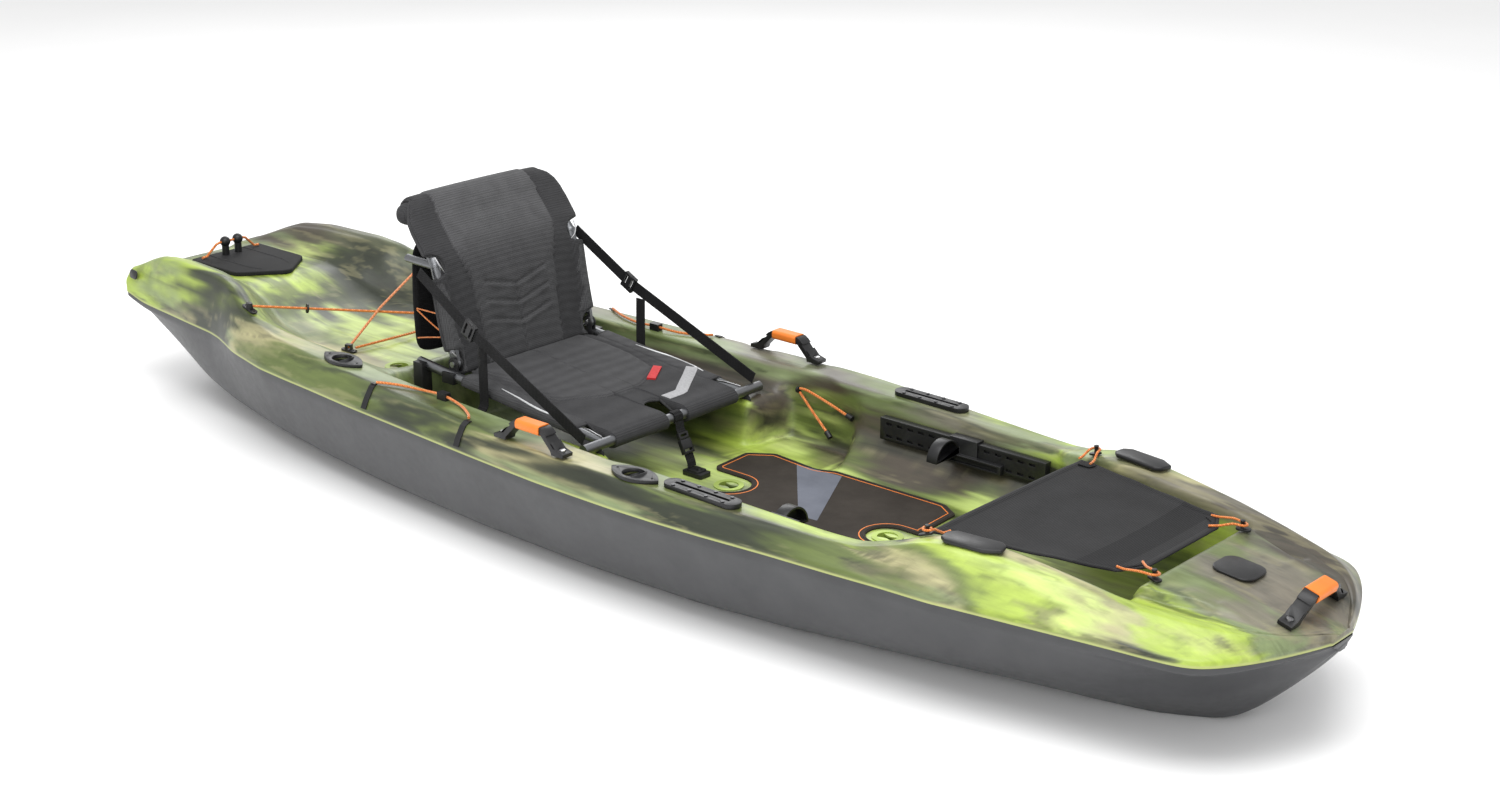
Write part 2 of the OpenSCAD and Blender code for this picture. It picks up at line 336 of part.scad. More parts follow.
// foot with an eye for the cord
module eye(p, ry, a, r = 4.6) translate([p[0], p[1], dz(p[0], p[1]) + 1.5]) {
  rotate([0, ry, 0]) difference() { linear_extrude(3.4) rrect(44, 17, 7); for (s = [-1, 1]) translate([s * 15, 0, -1]) cylinder(r = 2.2, h = 9); }
  rotate([0, 0, a]) difference() { translate([-6, -7.5, 1.5]) cube([12, 15, 14.5]); translate([-10, 0, 8.5]) rotate([0, ry == 0 ? 0 : 8, 0]) rotate([0, 90, 0]) cylinder(r = r, h = 20); } }
module tank_cord_anchors() { color(blk) both() { eye(TA[0], 17.5, 63.2); eye(TA[1], 0, -63.2, 5); } }
RG = 0.27;                                   // place of the ring along the first cord
module tank_cord_ring() { color(blk) translate([TA[0][0] + RG * (TA[1][0] - TA[0][0]), TA[0][1] - RG * (TA[1][1] + TA[0][1]), tz(TA[0]) + RG * (tz(TA[1]) - tz(TA[0]))])
  rotate([0, 98, 63.2]) difference() { cylinder(r = 11, h = 4, center = true); cylinder(r = 4.6, h = 8, center = true); } }

// ---------- paddle keepers and rod-tip cords ----------
// route of the paddle keeper along the gunwale
PC = [[-486, -360], [-470, -352], [-430, -336], [-370, -324], [-312, -324], [-250, -334], [-200, -358], [-180, -374]];
function pc(i) = [PC[i][0], PC[i][1], dz(PC[i][0], PC[i][1]) + (i == 4 ? 9 : 5.5)];
module paddle_cord() tube(smooth([for (i = [0 : len(PC) - 1]) pc(i)], 3), cord_d / 2);
module paddle_cord_starboard() { color(org) paddle_cord(); }
module paddle_cord_port() { color(org) mirror([0, 1, 0]) paddle_cord(); }
// webbing from the cord's end over the gunwale and down to the seam
module end_strap(x, y) { h = dhalf(x); web([[x, y, h[9][1] + 2.2], [x, -h[9][0] - 1, h[9][1] + 2.2], [x, -h[10][0] - 2.4, h[10][1] + 0.6],
    [x, -h[11][0] - 2.6, h[11][1]], [x, -h[12][0] - 2.4, h[12][1] + 1]], 16, 1.6, [1, 0, 0]); }
module paddle_cord_clips() { color(blk) both() {
  translate([-312, -324, dz(-312, -324) + 0.6]) difference() { translate([-13, -8, 0]) cube([26, 16, 16]); translate([-20, 0, 8.6]) rotate([0, 90, 0]) cylinder(r = 5.2, h = 40); }
  end_strap(-492, -366); end_strap(-173, -379); } }
// anchor high on the wall at the seat's front, cord forward to an upper and a lower toggle
module rod_tip_cord() { tube(smooth([[127, -317, 236], [150, -316, 236], [210, -314, 222], [262, -311, 208]], 3), cord_d / 2);
  tube([[127, -316.5, 227.5], [170, -309, 194], [214, -302, 162]], cord_d / 2); }
module rod_tip_cords() { color(org) both() rod_tip_cord(); }
module rod_tip_toggles() { color(blk) both() {
  translate([119, -317, 232]) rotate([0, 90, 0]) cylinder(r = 7, h = 5.5);
  translate([264.5, -310.8, 207.3]) rotate([0, 105, 3]) cylinder(r = 6.5, h = 16);
  translate([216, -301.6, 160.4]) rotate([0, 128, 12]) cylinder(r = 6.5, h = 16); } }

// ---------- seat ----------
TR = [-512, 290]; TF = [48, 236];           // side tube ends, x and z
function tbz(x) = TR[1] + (x - TR[0]) * (TF[1] - TR[1]) / (TF[0] - TR[0]);
HX = -408;                                   // hinge x
module base_tubes(r) { both() rod([TR[0], -tube_y, TR[1]], [TF[0], -tube_y, TF[1]], r);
  rod([TF[0], -272, TF[1]], [TF[0], 272, TF[1]], r);
  rod([-330, -tube_y, tbz(-330) - 3], [-330, tube_y, tbz(-330) - 3], r - 2); }
module seat_base_frame() { color(alu) base_tubes(tube_r); }
// cheeks either side of the back tube's tang, on a foot clamped round the side tube
module bracket() difference() { union() {
    for (y = [-208.6, -196.4]) translate([0, y, 0]) xz(-2, 2) union() { translate([HX, hinge_z]) circle(15);
      translate([HX - 14, 268]) square([28, hinge_z - 268]); }
    translate([HX - 18, -228.6, 265]) cube([36, 34.2, 24]); }
  rod([TR[0], -tube_y, TR[1]], [TF[0], -tube_y, TF[1]], tube_r + 0.05);
  translate([HX - 30, -206.6, 288.2]) cube([60, 8.2, 60]);
  translate([HX, -180, hinge_z]) rotate([90, 0, 0]) cylinder(r = 4.02, h = 60);
  translate([HX - 40, -240, 289]) cube([80, 29.4, 60]); }
module hinge_brackets() { color(blk) both() bracket(); }
module hinge_bolts() { color(alu) both() translate([HX, -190.2, hinge_z]) rotate([90, 0, 0]) { cylinder(r = 4, h = 24.4); translate([0, 0, -0.2]) cylinder(r = 7, h = 4.2);
   translate([0, 0, 20.6]) cylinder(r = 6.5, h = 3.8); } }
// back frame: side tubes from the hinge, bend at the upper cut-outs, top bar; stubs that carry the rear panel
BM = [-462, 512]; BT = [-536, 606];
BY = 202.5;
module back_tubes(r) { both() { rod([HX - 6, -BY, hinge_z + 24], [BM[0], -BY, BM[1]], r); translate([BM[0], -BY, BM[1]]) sphere(r + 0.5);
    rod([BM[0], -BY, BM[1]], [BT[0], -BY + 14, BT[1]], r); translate([BT[0], -BY + 14, BT[1]]) sphere(r + 0.5); }
  rod([BT[0], -BY + 14, BT[1]], [BT[0], BY - 14, BT[1]], r); }
module seat_back_frame() { color(alu) { difference() { union() { back_tubes(tube_r);
      both() { translate([0, -BY, 0]) xz(-3.6, 3.6) union() { translate([HX, hinge_z]) circle(13.5); polygon([[HX - 13, hinge_z], [HX + 12, hinge_z], [HX + 6, hinge_z + 34], [HX - 19, hinge_z + 34]]); }
        rod([BM[0] - 2, -BY, BM[1]], [-552, -BY, BM[1] + 2], tube_r - 2); } }
    both() translate([HX, -180, hinge_z]) rotate([90, 0, 0]) cylinder(r = 4.07, h = 60); } } }
// back pad: side profile swept across, cut out at the hinges and at the upper corners, with channels for the tubes
module seat_back_pad() { color(cloth) difference() {
  xz(-224, 224) polygon([[-397, 284], [-416, 370], [-432, 440], [-441, 500], [-462, 540], [-500, 578], [-532, 622], [-548, 640], [-566, 640],
    [-580, 622], [-560, 586], [-520, 560], [-496, 530], [-478, 480], [-462, 420], [-446, 350], [-432, 290], [-412, 278]]);
  both() xz(-215.5, -176) polygon([[-398, 316], [-450, 518], [-534, 624], [-554, 608], [-473, 506], [-423, 316]]);
  translate([BT[0], 180, BT[1]]) rotate([90, 0, 0]) cylinder(r = tube_r + 0.4, h = 360);
  both() { translate([-600, -260, 490]) cube([300, 76, 52]); translate([-600, -260, 250]) cube([300, 76, 84]);
    translate([-640, -260, 588]) cube([200, 46, 80]); } } }
module seat_rear_panel() { color(blk) difference() { translate([-548, 0, 288]) rotate([0, -90, 0]) rotate([0, 0, -90]) translate([0, 0, -7]) linear_extrude(14)
    translate([0, 134]) rrect(388, 262, 46);
  both() rod([-500, -BY, BM[1]], [-600, -BY, BM[1] + 2], tube_r - 1.6); } }
module seat_pan_pad() { color(cloth) difference() {
  xz(-226, 226) polygon([[-392, 268], [-300, 263], [-100, 257], [0, 252], [44, 250], [58, 244], [62, 234], [56, 222], [40, 216], [10, 225], [-380, 252], [-394, 258]]);
  base_tubes(tube_r + 0.4);
  translate([HX - 60, -260, 200]) cube([92, 78, 100]); translate([HX - 60, 182, 200]) cube([92, 78, 100]);
  both() { translate([0, -212, 180]) cylinder(r = 26, h = 100); translate([0, -260, 180]) cube([100, 48, 100]); }
  translate([-8, 0, 180]) cylinder(r = 27, h = 100); translate([-8, -27, 180]) cube([100, 54, 100]);
  both() translate([-296, -240, 200]) cube([34, 20, 100]);  } }
// webbing from the back's upper corner through a ladder lock to the front corner of the base
S1 = [-478, -236, 503]; S2 = [-316, -242, 408]; S3 = [40, -262, 254];
module side_strap() { web([S1, S1 + 0.5 * (S2 - S1), S2 + [-12, 0, 7]], web_w, 2.4, [0.35, 0, 0.94]);
  web([S2 + [12, 0, -5], S2 + 0.5 * (S3 - S2), S3], web_w, 2.4, [0.35, 0, 0.94]); }
module side_strap_starboard() { color(blk) side_strap(); }
module side_strap_port() { color(blk) mirror([0, 1, 0]) side_strap(); }
module ladder_locks() { color(blk) both() translate(S2) rotate([0, 29, -2]) difference() { cube([34, 9, 38], center = true);
   for (s = [-1, 1]) translate([s * 9, 0, 0]) cube([6, 12, 27], center = true); translate([-14.5, 0, 0]) cube([10, 7, 32], center = true); translate([14.5, 0, 0]) cube([10, 6.4, 32], center = true); } }
module drop_strap() web([[-280, -241, 376], [-280, -240, 320], [-280, -240, 250], [-280, -252, 232], [-280, -268, 225.5]], web_w, 2, [1, 0, 0]);
module drop_straps() { color(blk) both() drop_strap(); }
// front hold-down: webbing round the front tube, side-release buckle, webbing to the floor plate
HA = [60, 0, 222]; HB = [100, 0, 136];
hd = [(HB[0] - HA[0]) / norm(HB - HA), 0, (HB[2] - HA[2]) / norm(HB - HA)];
module on_hold(s) translate(HA + s * hd) rotate([0, atan2(hd[0], hd[2]), 0]) children();
module hold_down_strap() { color(blk) { web([for (a = [-200 : 40 : 80]) [TF[0] + (tube_r + 2.3) * sin(a + 60), 0, TF[1] + (tube_r + 2.3) * cos(a + 60)]], 24, 2, [0, 1, 0]);
  web([[61.4, 0, 228.5], HA + 8 * hd, HA + 17 * hd], 24, 2, [0, 1, 0]); web([HA + 64.5 * hd, HA + 84 * hd, [97, 0, 137]], 24, 2, [0, 1, 0]); } }
module buckle_tongue() { color(blk) on_hold(17.5) difference() { union() { translate([-4, -14, 0]) cube([8, 28, 14]); translate([-2, -10, 13.9]) cube([4, 4, 15]); translate([-2, 6, 13.9]) cube([4, 4, 15]);
    translate([-2.4, -11.6, 22]) cube([4.8, 4, 7]); translate([-2.4, 7.6, 22]) cube([4.8, 4, 7]); } translate([-10, -9, 4]) cube([20, 18, 5]); } }
module buckle_body() { color(blk) on_hold(33) difference() { translate([-5.5, -15, 0]) cube([11, 30, 31]); translate([-2.8, -12, -1]) cube([5.6, 24, 18]); translate([-10, -11, 21]) cube([20, 22, 5]); } }
module hold_down_plate() { color(blk) translate([110, 0, floor_z + 0.5]) { linear_extrude(10) rrect(54, 34, 5);
  translate([0, 0, 9.9]) linear_extrude(4) rrect(34, 28, 4); translate([8, 0, 13.8]) cylinder(r = 6, h = 3); } }
// open-topped blocks on the ledges under the rear ends of the side tubes
module saddle() difference() { translate([-508, -238, 218.9]) cube([28, 28.5, 78]);
  rod([-540, -tube_y, tbz(-540)], [-440, -tube_y, tbz(-440)], tube_r + 0.05);
  translate([-531, -tube_y - 8, tbz(-500)]) cube([60, 40, 60]); }
module seat_saddles() { color(blk) both() saddle(); }

hull_shell();
deck_shell();
scupper_tubes();
foam_blocks();
drain_socket();
drain_plug();
floor_mat();
handle_body_starboard();
handle_body_port();
handle_body_bow();
handle_grip_starboard();
handle_grip_port();
handle_grip_bow();
handle_screws();
gear_track_starboard();
gear_track_port();
gear_track_screws();
rod_holder_front();
rod_holder_aft_starboard();
rod_holder_aft_port();
deck_pad_starboard();
deck_pad_port();
bow_plate();
stern_plates();
side_rail_starboard();
side_rail_port();
sliding_holder_starboard();
sliding_holder_port();
front_cover();
cover_loops_aft();
cover_loops_fore();
cover_hooks_aft();
cover_hooks_fore();
tank_cord();
tank_cord_anchors();
tank_cord_ring();
stern_cover();
stern_tie_cord();
stern_toggles();
paddle_cord_starboard();
paddle_cord_port();
paddle_cord_clips();
rod_tip_cords();
rod_tip_toggles();
seat_base_frame();
seat_back_frame();
hinge_brackets();
hinge_bolts();
seat_pan_pad();
seat_back_pad();
seat_rear_panel();
side_strap_starboard();
side_strap_port();
ladder_locks();
drop_straps();
hold_down_strap();
buckle_body();
buckle_tongue();
hold_down_plate();
seat_saddles();
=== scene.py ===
"""Looks of a sit-on-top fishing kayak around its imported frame. Metres, +X bow, +Y port, +Z up."""
import json
import math
import bmesh
import bpy
import numpy as np
from mathutils import Matrix, Vector

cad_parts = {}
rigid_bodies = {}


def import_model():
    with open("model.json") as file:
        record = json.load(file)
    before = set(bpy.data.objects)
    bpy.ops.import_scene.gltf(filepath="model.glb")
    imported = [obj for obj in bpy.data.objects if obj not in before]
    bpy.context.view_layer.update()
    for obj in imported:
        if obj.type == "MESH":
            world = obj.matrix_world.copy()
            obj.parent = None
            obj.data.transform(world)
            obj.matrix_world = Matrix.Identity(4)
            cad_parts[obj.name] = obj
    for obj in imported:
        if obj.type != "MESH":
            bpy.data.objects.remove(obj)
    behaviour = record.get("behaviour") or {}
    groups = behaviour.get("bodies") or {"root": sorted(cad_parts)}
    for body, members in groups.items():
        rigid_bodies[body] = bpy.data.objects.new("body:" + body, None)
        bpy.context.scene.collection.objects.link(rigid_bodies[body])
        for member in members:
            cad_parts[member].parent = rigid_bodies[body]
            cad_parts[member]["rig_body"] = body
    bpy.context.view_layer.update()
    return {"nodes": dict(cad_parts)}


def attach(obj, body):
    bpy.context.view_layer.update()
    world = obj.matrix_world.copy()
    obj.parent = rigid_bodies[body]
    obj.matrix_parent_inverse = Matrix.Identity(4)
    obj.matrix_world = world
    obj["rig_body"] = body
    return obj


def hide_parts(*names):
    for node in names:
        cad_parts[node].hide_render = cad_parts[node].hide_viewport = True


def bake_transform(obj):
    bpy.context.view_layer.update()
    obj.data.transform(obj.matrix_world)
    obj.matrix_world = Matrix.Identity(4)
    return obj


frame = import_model()
nodes = frame["nodes"]
MM = 0.001

# ------------------------------------------------------------------ camera, light, floor
def camera():
    yaw, pitch, roll = math.radians(131.216), math.radians(-19.163), 0.00237
    fw = Vector((math.cos(pitch) * math.cos(yaw), math.cos(pitch) * math.sin(yaw), math.sin(pitch)))
    right = fw.cross(Vector((0, 0, 1))).normalized()
    up = right.cross(fw)
    c, s = math.cos(roll), math.sin(roll)
    r, u = c * right + s * up, -s * right + c * up
    m = Matrix(((r.x, u.x, -fw.x, 3.2451), (r.y, u.y, -fw.y, -3.4089), (r.z, u.z, -fw.z, 1.9085), (0, 0, 0, 1)))
    data = bpy.data.cameras.new("camera")
    data.lens, data.sensor_width, data.clip_end = 56.43, 36.0, 100
    cam = bpy.data.objects.new("camera", data)
    bpy.context.scene.collection.objects.link(cam)
    cam.matrix_world = m
    bpy.context.scene.camera = cam


def area(name, loc, target, size, power, size_y=None, color=(1, 1, 1)):
    data = bpy.data.lights.new(name, "AREA")
    data.energy, data.size, data.color = power, size, color
    if size_y:
        data.shape, data.size_y = "RECTANGLE", size_y
    o = bpy.data.objects.new(name, data)
    bpy.context.scene.collection.objects.link(o)
    o.location = loc
    o.rotation_euler = (Vector(target) - Vector(loc)).to_track_quat("-Z", "Y").to_euler()


camera()
bpy.context.scene.view_settings.view_transform = "Standard"
bpy.context.scene.view_settings.look = "None"
world = bpy.data.worlds.new("studio")
bpy.context.scene.world = world
world.use_nodes = True
world.node_tree.nodes["Background"].inputs[0].default_value = (1.0, 1.0, 1.0, 1)
world.node_tree.nodes["Background"].inputs[1].default_value = 0.80
area("key", (1.0, -1.2, 5.0), (0, 0, 0.2), 5.0, 215, 3.0)
area("side", (2.6, -4.6, 2.2), (0.2, 0, 0.2), 3.5, 60, 2.0)
area("back", (-3.5, 3.5, 3.0), (0, 0, 0.3), 3.0, 70, 2.0)


# ------------------------------------------------------------------ materials
def new_mat(name, base, rough=0.5, metal=0.0, spec=0.5, sheen=0.0, coat=0.0):
    m = bpy.data.materials.new(name)
    m.use_nodes = True
    b = m.node_tree.nodes["Principled BSDF"]
    b.inputs["Base Color"].default_value = (*base, 1)
    b.inputs["Roughness"].default_value = rough
    b.inputs["Metallic"].default_value = metal
    b.inputs["Specular IOR Level"].default_value = spec
    b.inputs["Sheen Weight"].default_value = sheen
    b.inputs["Coat Weight"].default_value = coat
    return m, b


def nt(m, kind, **kw):
    n = m.node_tree.nodes.new(kind)
    for k, v in kw.items():
        if k in n.inputs:
            n.inputs[k].default_value = v
        else:
            setattr(n, k, v)
    return n


def link(m, a, b):
    m.node_tree.links.new(a, b)


def coords(m):
    return nt(m, "ShaderNodeTexCoord").outputs["Object"]


def noise(m, vec, scale, detail=3.0, rough=0.5, dist=0.0):
    n = nt(m, "ShaderNodeTexNoise", Scale=scale, Detail=detail, Roughness=rough, Distortion=dist)
    link(m, vec, n.inputs["Vector"])
    return n.outputs["Fac"]


def ramp(m, fac, stops):
    r = nt(m, "ShaderNodeValToRGB")
    e = r.color_ramp.elements
    while len(e) > 1:
        e.remove(e[-1])
    for i, (p, c) in enumerate(stops):
        x = e[0] if i == 0 else e.new(p)
        x.position = p
        x.color = (*c, 1) if len(c) == 3 else c
    link(m, fac, r.inputs["Fac"])
    return r.outputs["Color"]


def mix(m, fac, a, b, mode="MIX"):
    n = m.node_tree.nodes.new("ShaderNodeMix")
    n.data_type, n.blend_type = "RGBA", mode
    for k, v in ((0, fac), (6, a), (7, b)):
        if isinstance(v, (int, float)):
            n.inputs[k].default_value = v
        elif isinstance(v, tuple):
            n.inputs[k].default_value = (*v, 1)
        else:
            link(m, v, n.inputs[k])
    return n.outputs[2]


def math_node(m, op, a, b=None):
    n = nt(m, "ShaderNodeMath", operation=op)
    for i, v in enumerate((a, b)):
        if v is None:
            continue
        if isinstance(v, (int, float)):
            n.inputs[i].default_value = v
        else:
            link(m, v, n.inputs[i])
    return n.outputs[0]


def mapped(m, vec, scale=(1, 1, 1), rot=(0, 0, 0)):
    n = nt(m, "ShaderNodeMapping")
    n.inputs["Scale"].default_value = scale
    n.inputs["Rotation"].default_value = rot
    link(m, vec, n.inputs["Vector"])
    return n.outputs["Vector"]


def bump(m, b, height, strength, dist):
    n = nt(m, "ShaderNodeBump", Strength=strength, Distance=dist)
    link(m, height, n.inputs["Height"])
    link(m, n.outputs["Normal"], b.inputs["Normal"])


def plastic(name, base, rough=0.45, var=0.12, grain=900, depth=0.0004, spec=0.5):
    """moulded plastic: fine grain, faint blotches in colour and gloss"""
    m, b = new_mat(name, base, rough, spec=spec)
    v = coords(m)
    f = noise(m, v, 14, 4)
    dark = tuple(c * (1 - var) for c in base)
    light = tuple(min(1, c * (1 + var) + 0.003) for c in base)
    link(m, ramp(m, f, [(0.3, dark), (0.7, light)]), b.inputs["Base Color"])
    r = math_node(m, "MULTIPLY_ADD", noise(m, v, 60, 3), 0.16)
    r.node.inputs[2].default_value = rough - 0.08
    link(m, r, b.inputs["Roughness"])
    bump(m, b, noise(m, v, grain, 2), 0.25, depth)
    return m


def weave(m, v, pitch):
    """over-and-under weave height from two crossed waves, pitch in metres"""
    k = 2 * math.pi / pitch / (2 * math.pi) * 0.5
    outs = []
    for d in ("X", "Y", "Z"):
        w = nt(m, "ShaderNodeTexWave", wave_type="BANDS", bands_direction=d, wave_profile="SIN")
        w.inputs["Scale"].default_value = k * 0.5
        w.inputs["Distortion"].default_value = 0.6
        w.inputs["Detail"].default_value = 1
        link(m, v, w.inputs["Vector"])
        outs.append(w.outputs["Fac"])
    a = math_node(m, "ADD", outs[0], outs[1])
    return math_node(m, "ADD", a, outs[2])


def cloth(name, base, pitch=0.003, rough=0.85, depth=0.0006, attr=None, second=None, var=0.16, sheen=0.04):
    m, b = new_mat(name, base, rough, spec=0.16, sheen=sheen)
    b.inputs["Sheen Roughness"].default_value = 0.5
    v = coords(m)
    w = weave(m, v, pitch)
    f = noise(m, v, 30, 5, 0.6)
    col = ramp(m, f, [(0.25, tuple(c * (1 - var) for c in base)), (0.75, tuple(c * (1 + var) for c in base))])
    if attr:
        a = nt(m, "ShaderNodeAttribute", attribute_name=attr)
        c2 = ramp(m, f, [(0.25, tuple(c * (1 - var) for c in second)), (0.75, tuple(c * (1 + var) for c in second))])
        col = mix(m, a.outputs["Fac"], col, c2)
    shade = ramp(m, math_node(m, "MULTIPLY", w, 0.333), [(0.15, (0.72, 0.72, 0.72)), (0.8, (1.12, 1.12, 1.12))])
    link(m, mix(m, 1.0, col, shade, "MULTIPLY"), b.inputs["Base Color"])
    h = math_node(m, "ADD", w, noise(m, v, 250, 2))
    bump(m, b, h, 0.5, depth)
    return m


M = {}
M["black"] = plastic("black_moulded", (0.010, 0.010, 0.011), 0.40, 0.25, spec=0.4)
M["orange"] = plastic("orange_grip", (0.80, 0.20, 0.02), 0.5, 0.08)
M["foam"] = plastic("foam", (0.85, 0.85, 0.82), 0.8, 0.05)
M["hull"] = plastic("hull_moulded", (0.042, 0.043, 0.046), 0.40, 0.10, 500, 0.0006)
M["mat"] = plastic("mat_brushed", (0.034, 0.028, 0.023), 0.85, 0.16, 320, 0.0012, 0.2)
M["matband"] = plastic("mat_band", (0.13, 0.14, 0.17), 0.8, 0.12, 320, 0.001, 0.2)
# the panel attribute mixes in the lighter grey: the centre panel's own cloth colour, and painted light on the top of
# the seat back
M["seat"] = cloth("seat_cloth", (0.040, 0.040, 0.042), attr="panel", second=(0.085, 0.085, 0.088))
M["bind"] = cloth("binding", (0.045, 0.045, 0.047), 0.002)
M["cover"] = cloth("cover_cloth", (0.016, 0.016, 0.017), 0.0035, 0.7)
M["coverband"] = cloth("cover_band", (0.007, 0.007, 0.008), 0.0035, 0.7)
M["web"] = cloth("webbing", (0.012, 0.012, 0.013), 0.0035, 0.8, 0.0008)
M["panel"] = cloth("rear_panel_cloth", (0.008, 0.008, 0.009), 0.004, 0.85)
M["reflect"], _b = new_mat("reflective", (0.62, 0.63, 0.64), 0.45, 0.2)
M["stripe"], _b = new_mat("stripe_grey", (0.33, 0.33, 0.34), 0.6)
M["red"], _b = new_mat("red_tag", (0.50, 0.010, 0.014), 0.6)
for k in ("reflect", "stripe", "red"):
    mm = M[k]
    bb = mm.node_tree.nodes["Principled BSDF"]
    base = tuple(bb.inputs["Base Color"].default_value)[:3]
    vv = coords(mm)
    link(mm, ramp(mm, noise(mm, vv, 220, 3), [(0.3, tuple(c * 0.82 for c in base)), (0.7, tuple(min(1, c * 1.1) for c in base))]), bb.inputs["Base Color"])
    bump(mm, bb, weave(mm, vv, 0.0025), 0.3, 0.0004)


def metal(name, base, rough, brushed=(4, 90, 90)):
    m, b = new_mat(name, base, rough, metal=1.0)
    v = mapped(m, coords(m), brushed)
    f = noise(m, v, 12, 4)
    link(m, ramp(m, f, [(0.3, tuple(c * 0.82 for c in base)), (0.7, tuple(min(1, c * 1.12) for c in base))]), b.inputs["Base Color"])
    r = math_node(m, "MULTIPLY_ADD", f, 0.2)
    r.node.inputs[2].default_value = rough - 0.1
    link(m, r, b.inputs["Roughness"])
    bump(m, b, f, 0.1, 0.0003)
    return m


M["alu"] = metal("tube_aluminium", (0.20, 0.205, 0.215), 0.42)
M["dark_steel"] = metal("dark_steel", (0.07, 0.07, 0.075), 0.38)
M["steel"] = metal("stainless", (0.55, 0.55, 0.56), 0.3)


def braid(name, base, crown_highlight):
    """braided cord: diagonal plait from two crossed waves; its colour has painted shade in the grooves and a painted
    highlight on the strand crowns
    """
    m, b = new_mat(name, base, 0.55, spec=0.35, sheen=0.3)
    v = coords(m)
    hs = []
    for r in ((0.6, 0.5, 0.8), (-0.6, 0.5, -0.8)):
        w = nt(m, "ShaderNodeTexWave", wave_type="BANDS", bands_direction="X", wave_profile="SIN")
        w.inputs["Scale"].default_value = 110
        w.inputs["Distortion"].default_value = 0.8
        link(m, mapped(m, v, (1, 1, 1), r), w.inputs["Vector"])
        hs.append(w.outputs["Fac"])
    h = math_node(m, "MULTIPLY", hs[0], hs[1])
    # painted shade: grooves darkened to 0.6 of the base; painted highlight: strand crowns in paler orange
    link(m, ramp(m, h, [(0.0, tuple(c * 0.6 for c in base)), (0.5, base), (0.95, crown_highlight)]), b.inputs["Base Color"])
    bump(m, b, h, 0.6, 0.0006)
    return m


# the third colour is the painted highlight on the cord's strand crowns
M["cord"] = braid("orange_cord", (0.80, 0.21, 0.03), (0.95, 0.42, 0.14))

# ------------------------------------------------------------------ mesh helpers
def mesh_obj(name, verts, faces, mats, smooth=True, angle=None):
    me = bpy.data.meshes.new(name)
    me.from_pydata([tuple(float(c) for c in v) for v in verts], [], faces)
    me.update()
    bm = bmesh.new()
    bm.from_mesh(me)
    bmesh.ops.recalc_face_normals(bm, faces=bm.faces)
    bm.to_mesh(me)
    bm.free()
    for m in mats if isinstance(mats, (list, tuple)) else [mats]:
        me.materials.append(m)
    o = bpy.data.objects.new(name, me)
    bpy.context.scene.collection.objects.link(o)
    me.polygons.foreach_set("use_smooth", [smooth] * len(me.polygons))
    if angle:
        sharp(o, angle)
    return o


def sharp(o, deg):
    """smooth shading that keeps edges over this angle sharp"""
    me = o.data
    me.polygons.foreach_set("use_smooth", [True] * len(me.polygons))
    me.set_sharp_from_angle(angle=math.radians(deg))


def apply(o, *mods):
    for kind, kw in mods:
        m = o.modifiers.new(kind, kind)
        for k, v in kw.items():
            setattr(m, k, v)
    bpy.context.view_layer.update()
    ev = o.evaluated_get(bpy.context.evaluated_depsgraph_get())
    me = bpy.data.meshes.new_from_object(ev)
    old = o.data
    o.modifiers.clear()
    o.data = me
    bpy.data.meshes.remove(old)
    return o


def put(o, body, *replaced, slot=None):
    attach(o, body)
    if replaced:
        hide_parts(*replaced)
    return o


def grid_faces(n, m, close_v=False, flip=False, base=0):
    f = []
    for i in range(n - 1):
        for j in range(m if close_v else m - 1):
            a, b = base + i * m + j, base + i * m + (j + 1) % m
            q = [a, a + m, b + m, b]
            f.append(q[::-1] if flip else q)
    return f


def catmull(P, k):
    P = np.array(P, float)
    n, out = len(P), []
    for i in range(n - 1):
        a, b, c, d = P[max(0, i - 1)], P[i], P[i + 1], P[min(n - 1, i + 2)]
        for q in range(k):
            f = q / k
            out.append(0.5 * (2 * b + (c - a) * f + (2 * a - 5 * b + 4 * c - d) * f * f + (3 * b - 3 * c + d - a) * f ** 3))
    out.append(P[-1])
    return np.array(out)


def tube(name, P, r, mat, n=12, close=False, ends=True):
    """round tube along points; closed ring or capped"""
    P = np.array(P, float)
    c = len(P)
    T = np.array([(P[(i + 1) % c] - P[i - 1]) if close else (P[min(c - 1, i + 1)] - P[max(0, i - 1)]) for i in range(c)])
    T /= np.linalg.norm(T, axis=1)[:, None] + 1e-12
    h = np.array([0, 0, 1.0]) if abs(T[0][2]) < 0.9 else np.array([0, 1.0, 0])
    u = np.cross(h, T[0])
    u /= np.linalg.norm(u)
    V, R = [], (r if hasattr(r, "__len__") else [r] * c)
    for i in range(c):
        u = u - T[i] * (u @ T[i])
        u /= np.linalg.norm(u) + 1e-12
        v = np.cross(T[i], u)
        for k in range(n):
            a = 2 * math.pi * k / n
            V.append(P[i] + R[i] * (math.cos(a) * u + math.sin(a) * v))
    f = grid_faces(c, n, True)
    if close:
        for j in range(n):
            a, b = (c - 1) * n + j, (c - 1) * n + (j + 1) % n
            f.append([a, j, (j + 1) % n, b])
    elif ends:
        f += [list(range(n)), [(c - 1) * n + k for k in range(n)][::-1]]
    return mesh_obj(name, np.array(V), f, mat, True, None if close else 50)


def join(name, objs):
    bm = bmesh.new()
    mats = []
    for o in objs:
        idx = []
        for m in o.data.materials:
            if m not in mats:
                mats.append(m)
            idx.append(mats.index(m))
        n0 = len(bm.faces)
        bm.from_mesh(o.data)
        bm.faces.ensure_lookup_table()
        for f in bm.faces[n0:]:
            f.material_index = idx[f.material_index] if f.material_index < len(idx) else 0
    me = bpy.data.meshes.new(name)
    bm.to_mesh(me)
    bm.free()
    for m in mats:
        me.materials.append(m)
    for o in objs:
        d = o.data
        bpy.data.objects.remove(o)
        bpy.data.meshes.remove(d)
    o = bpy.data.objects.new(name, me)
    bpy.context.scene.collection.objects.link(o)
    return o


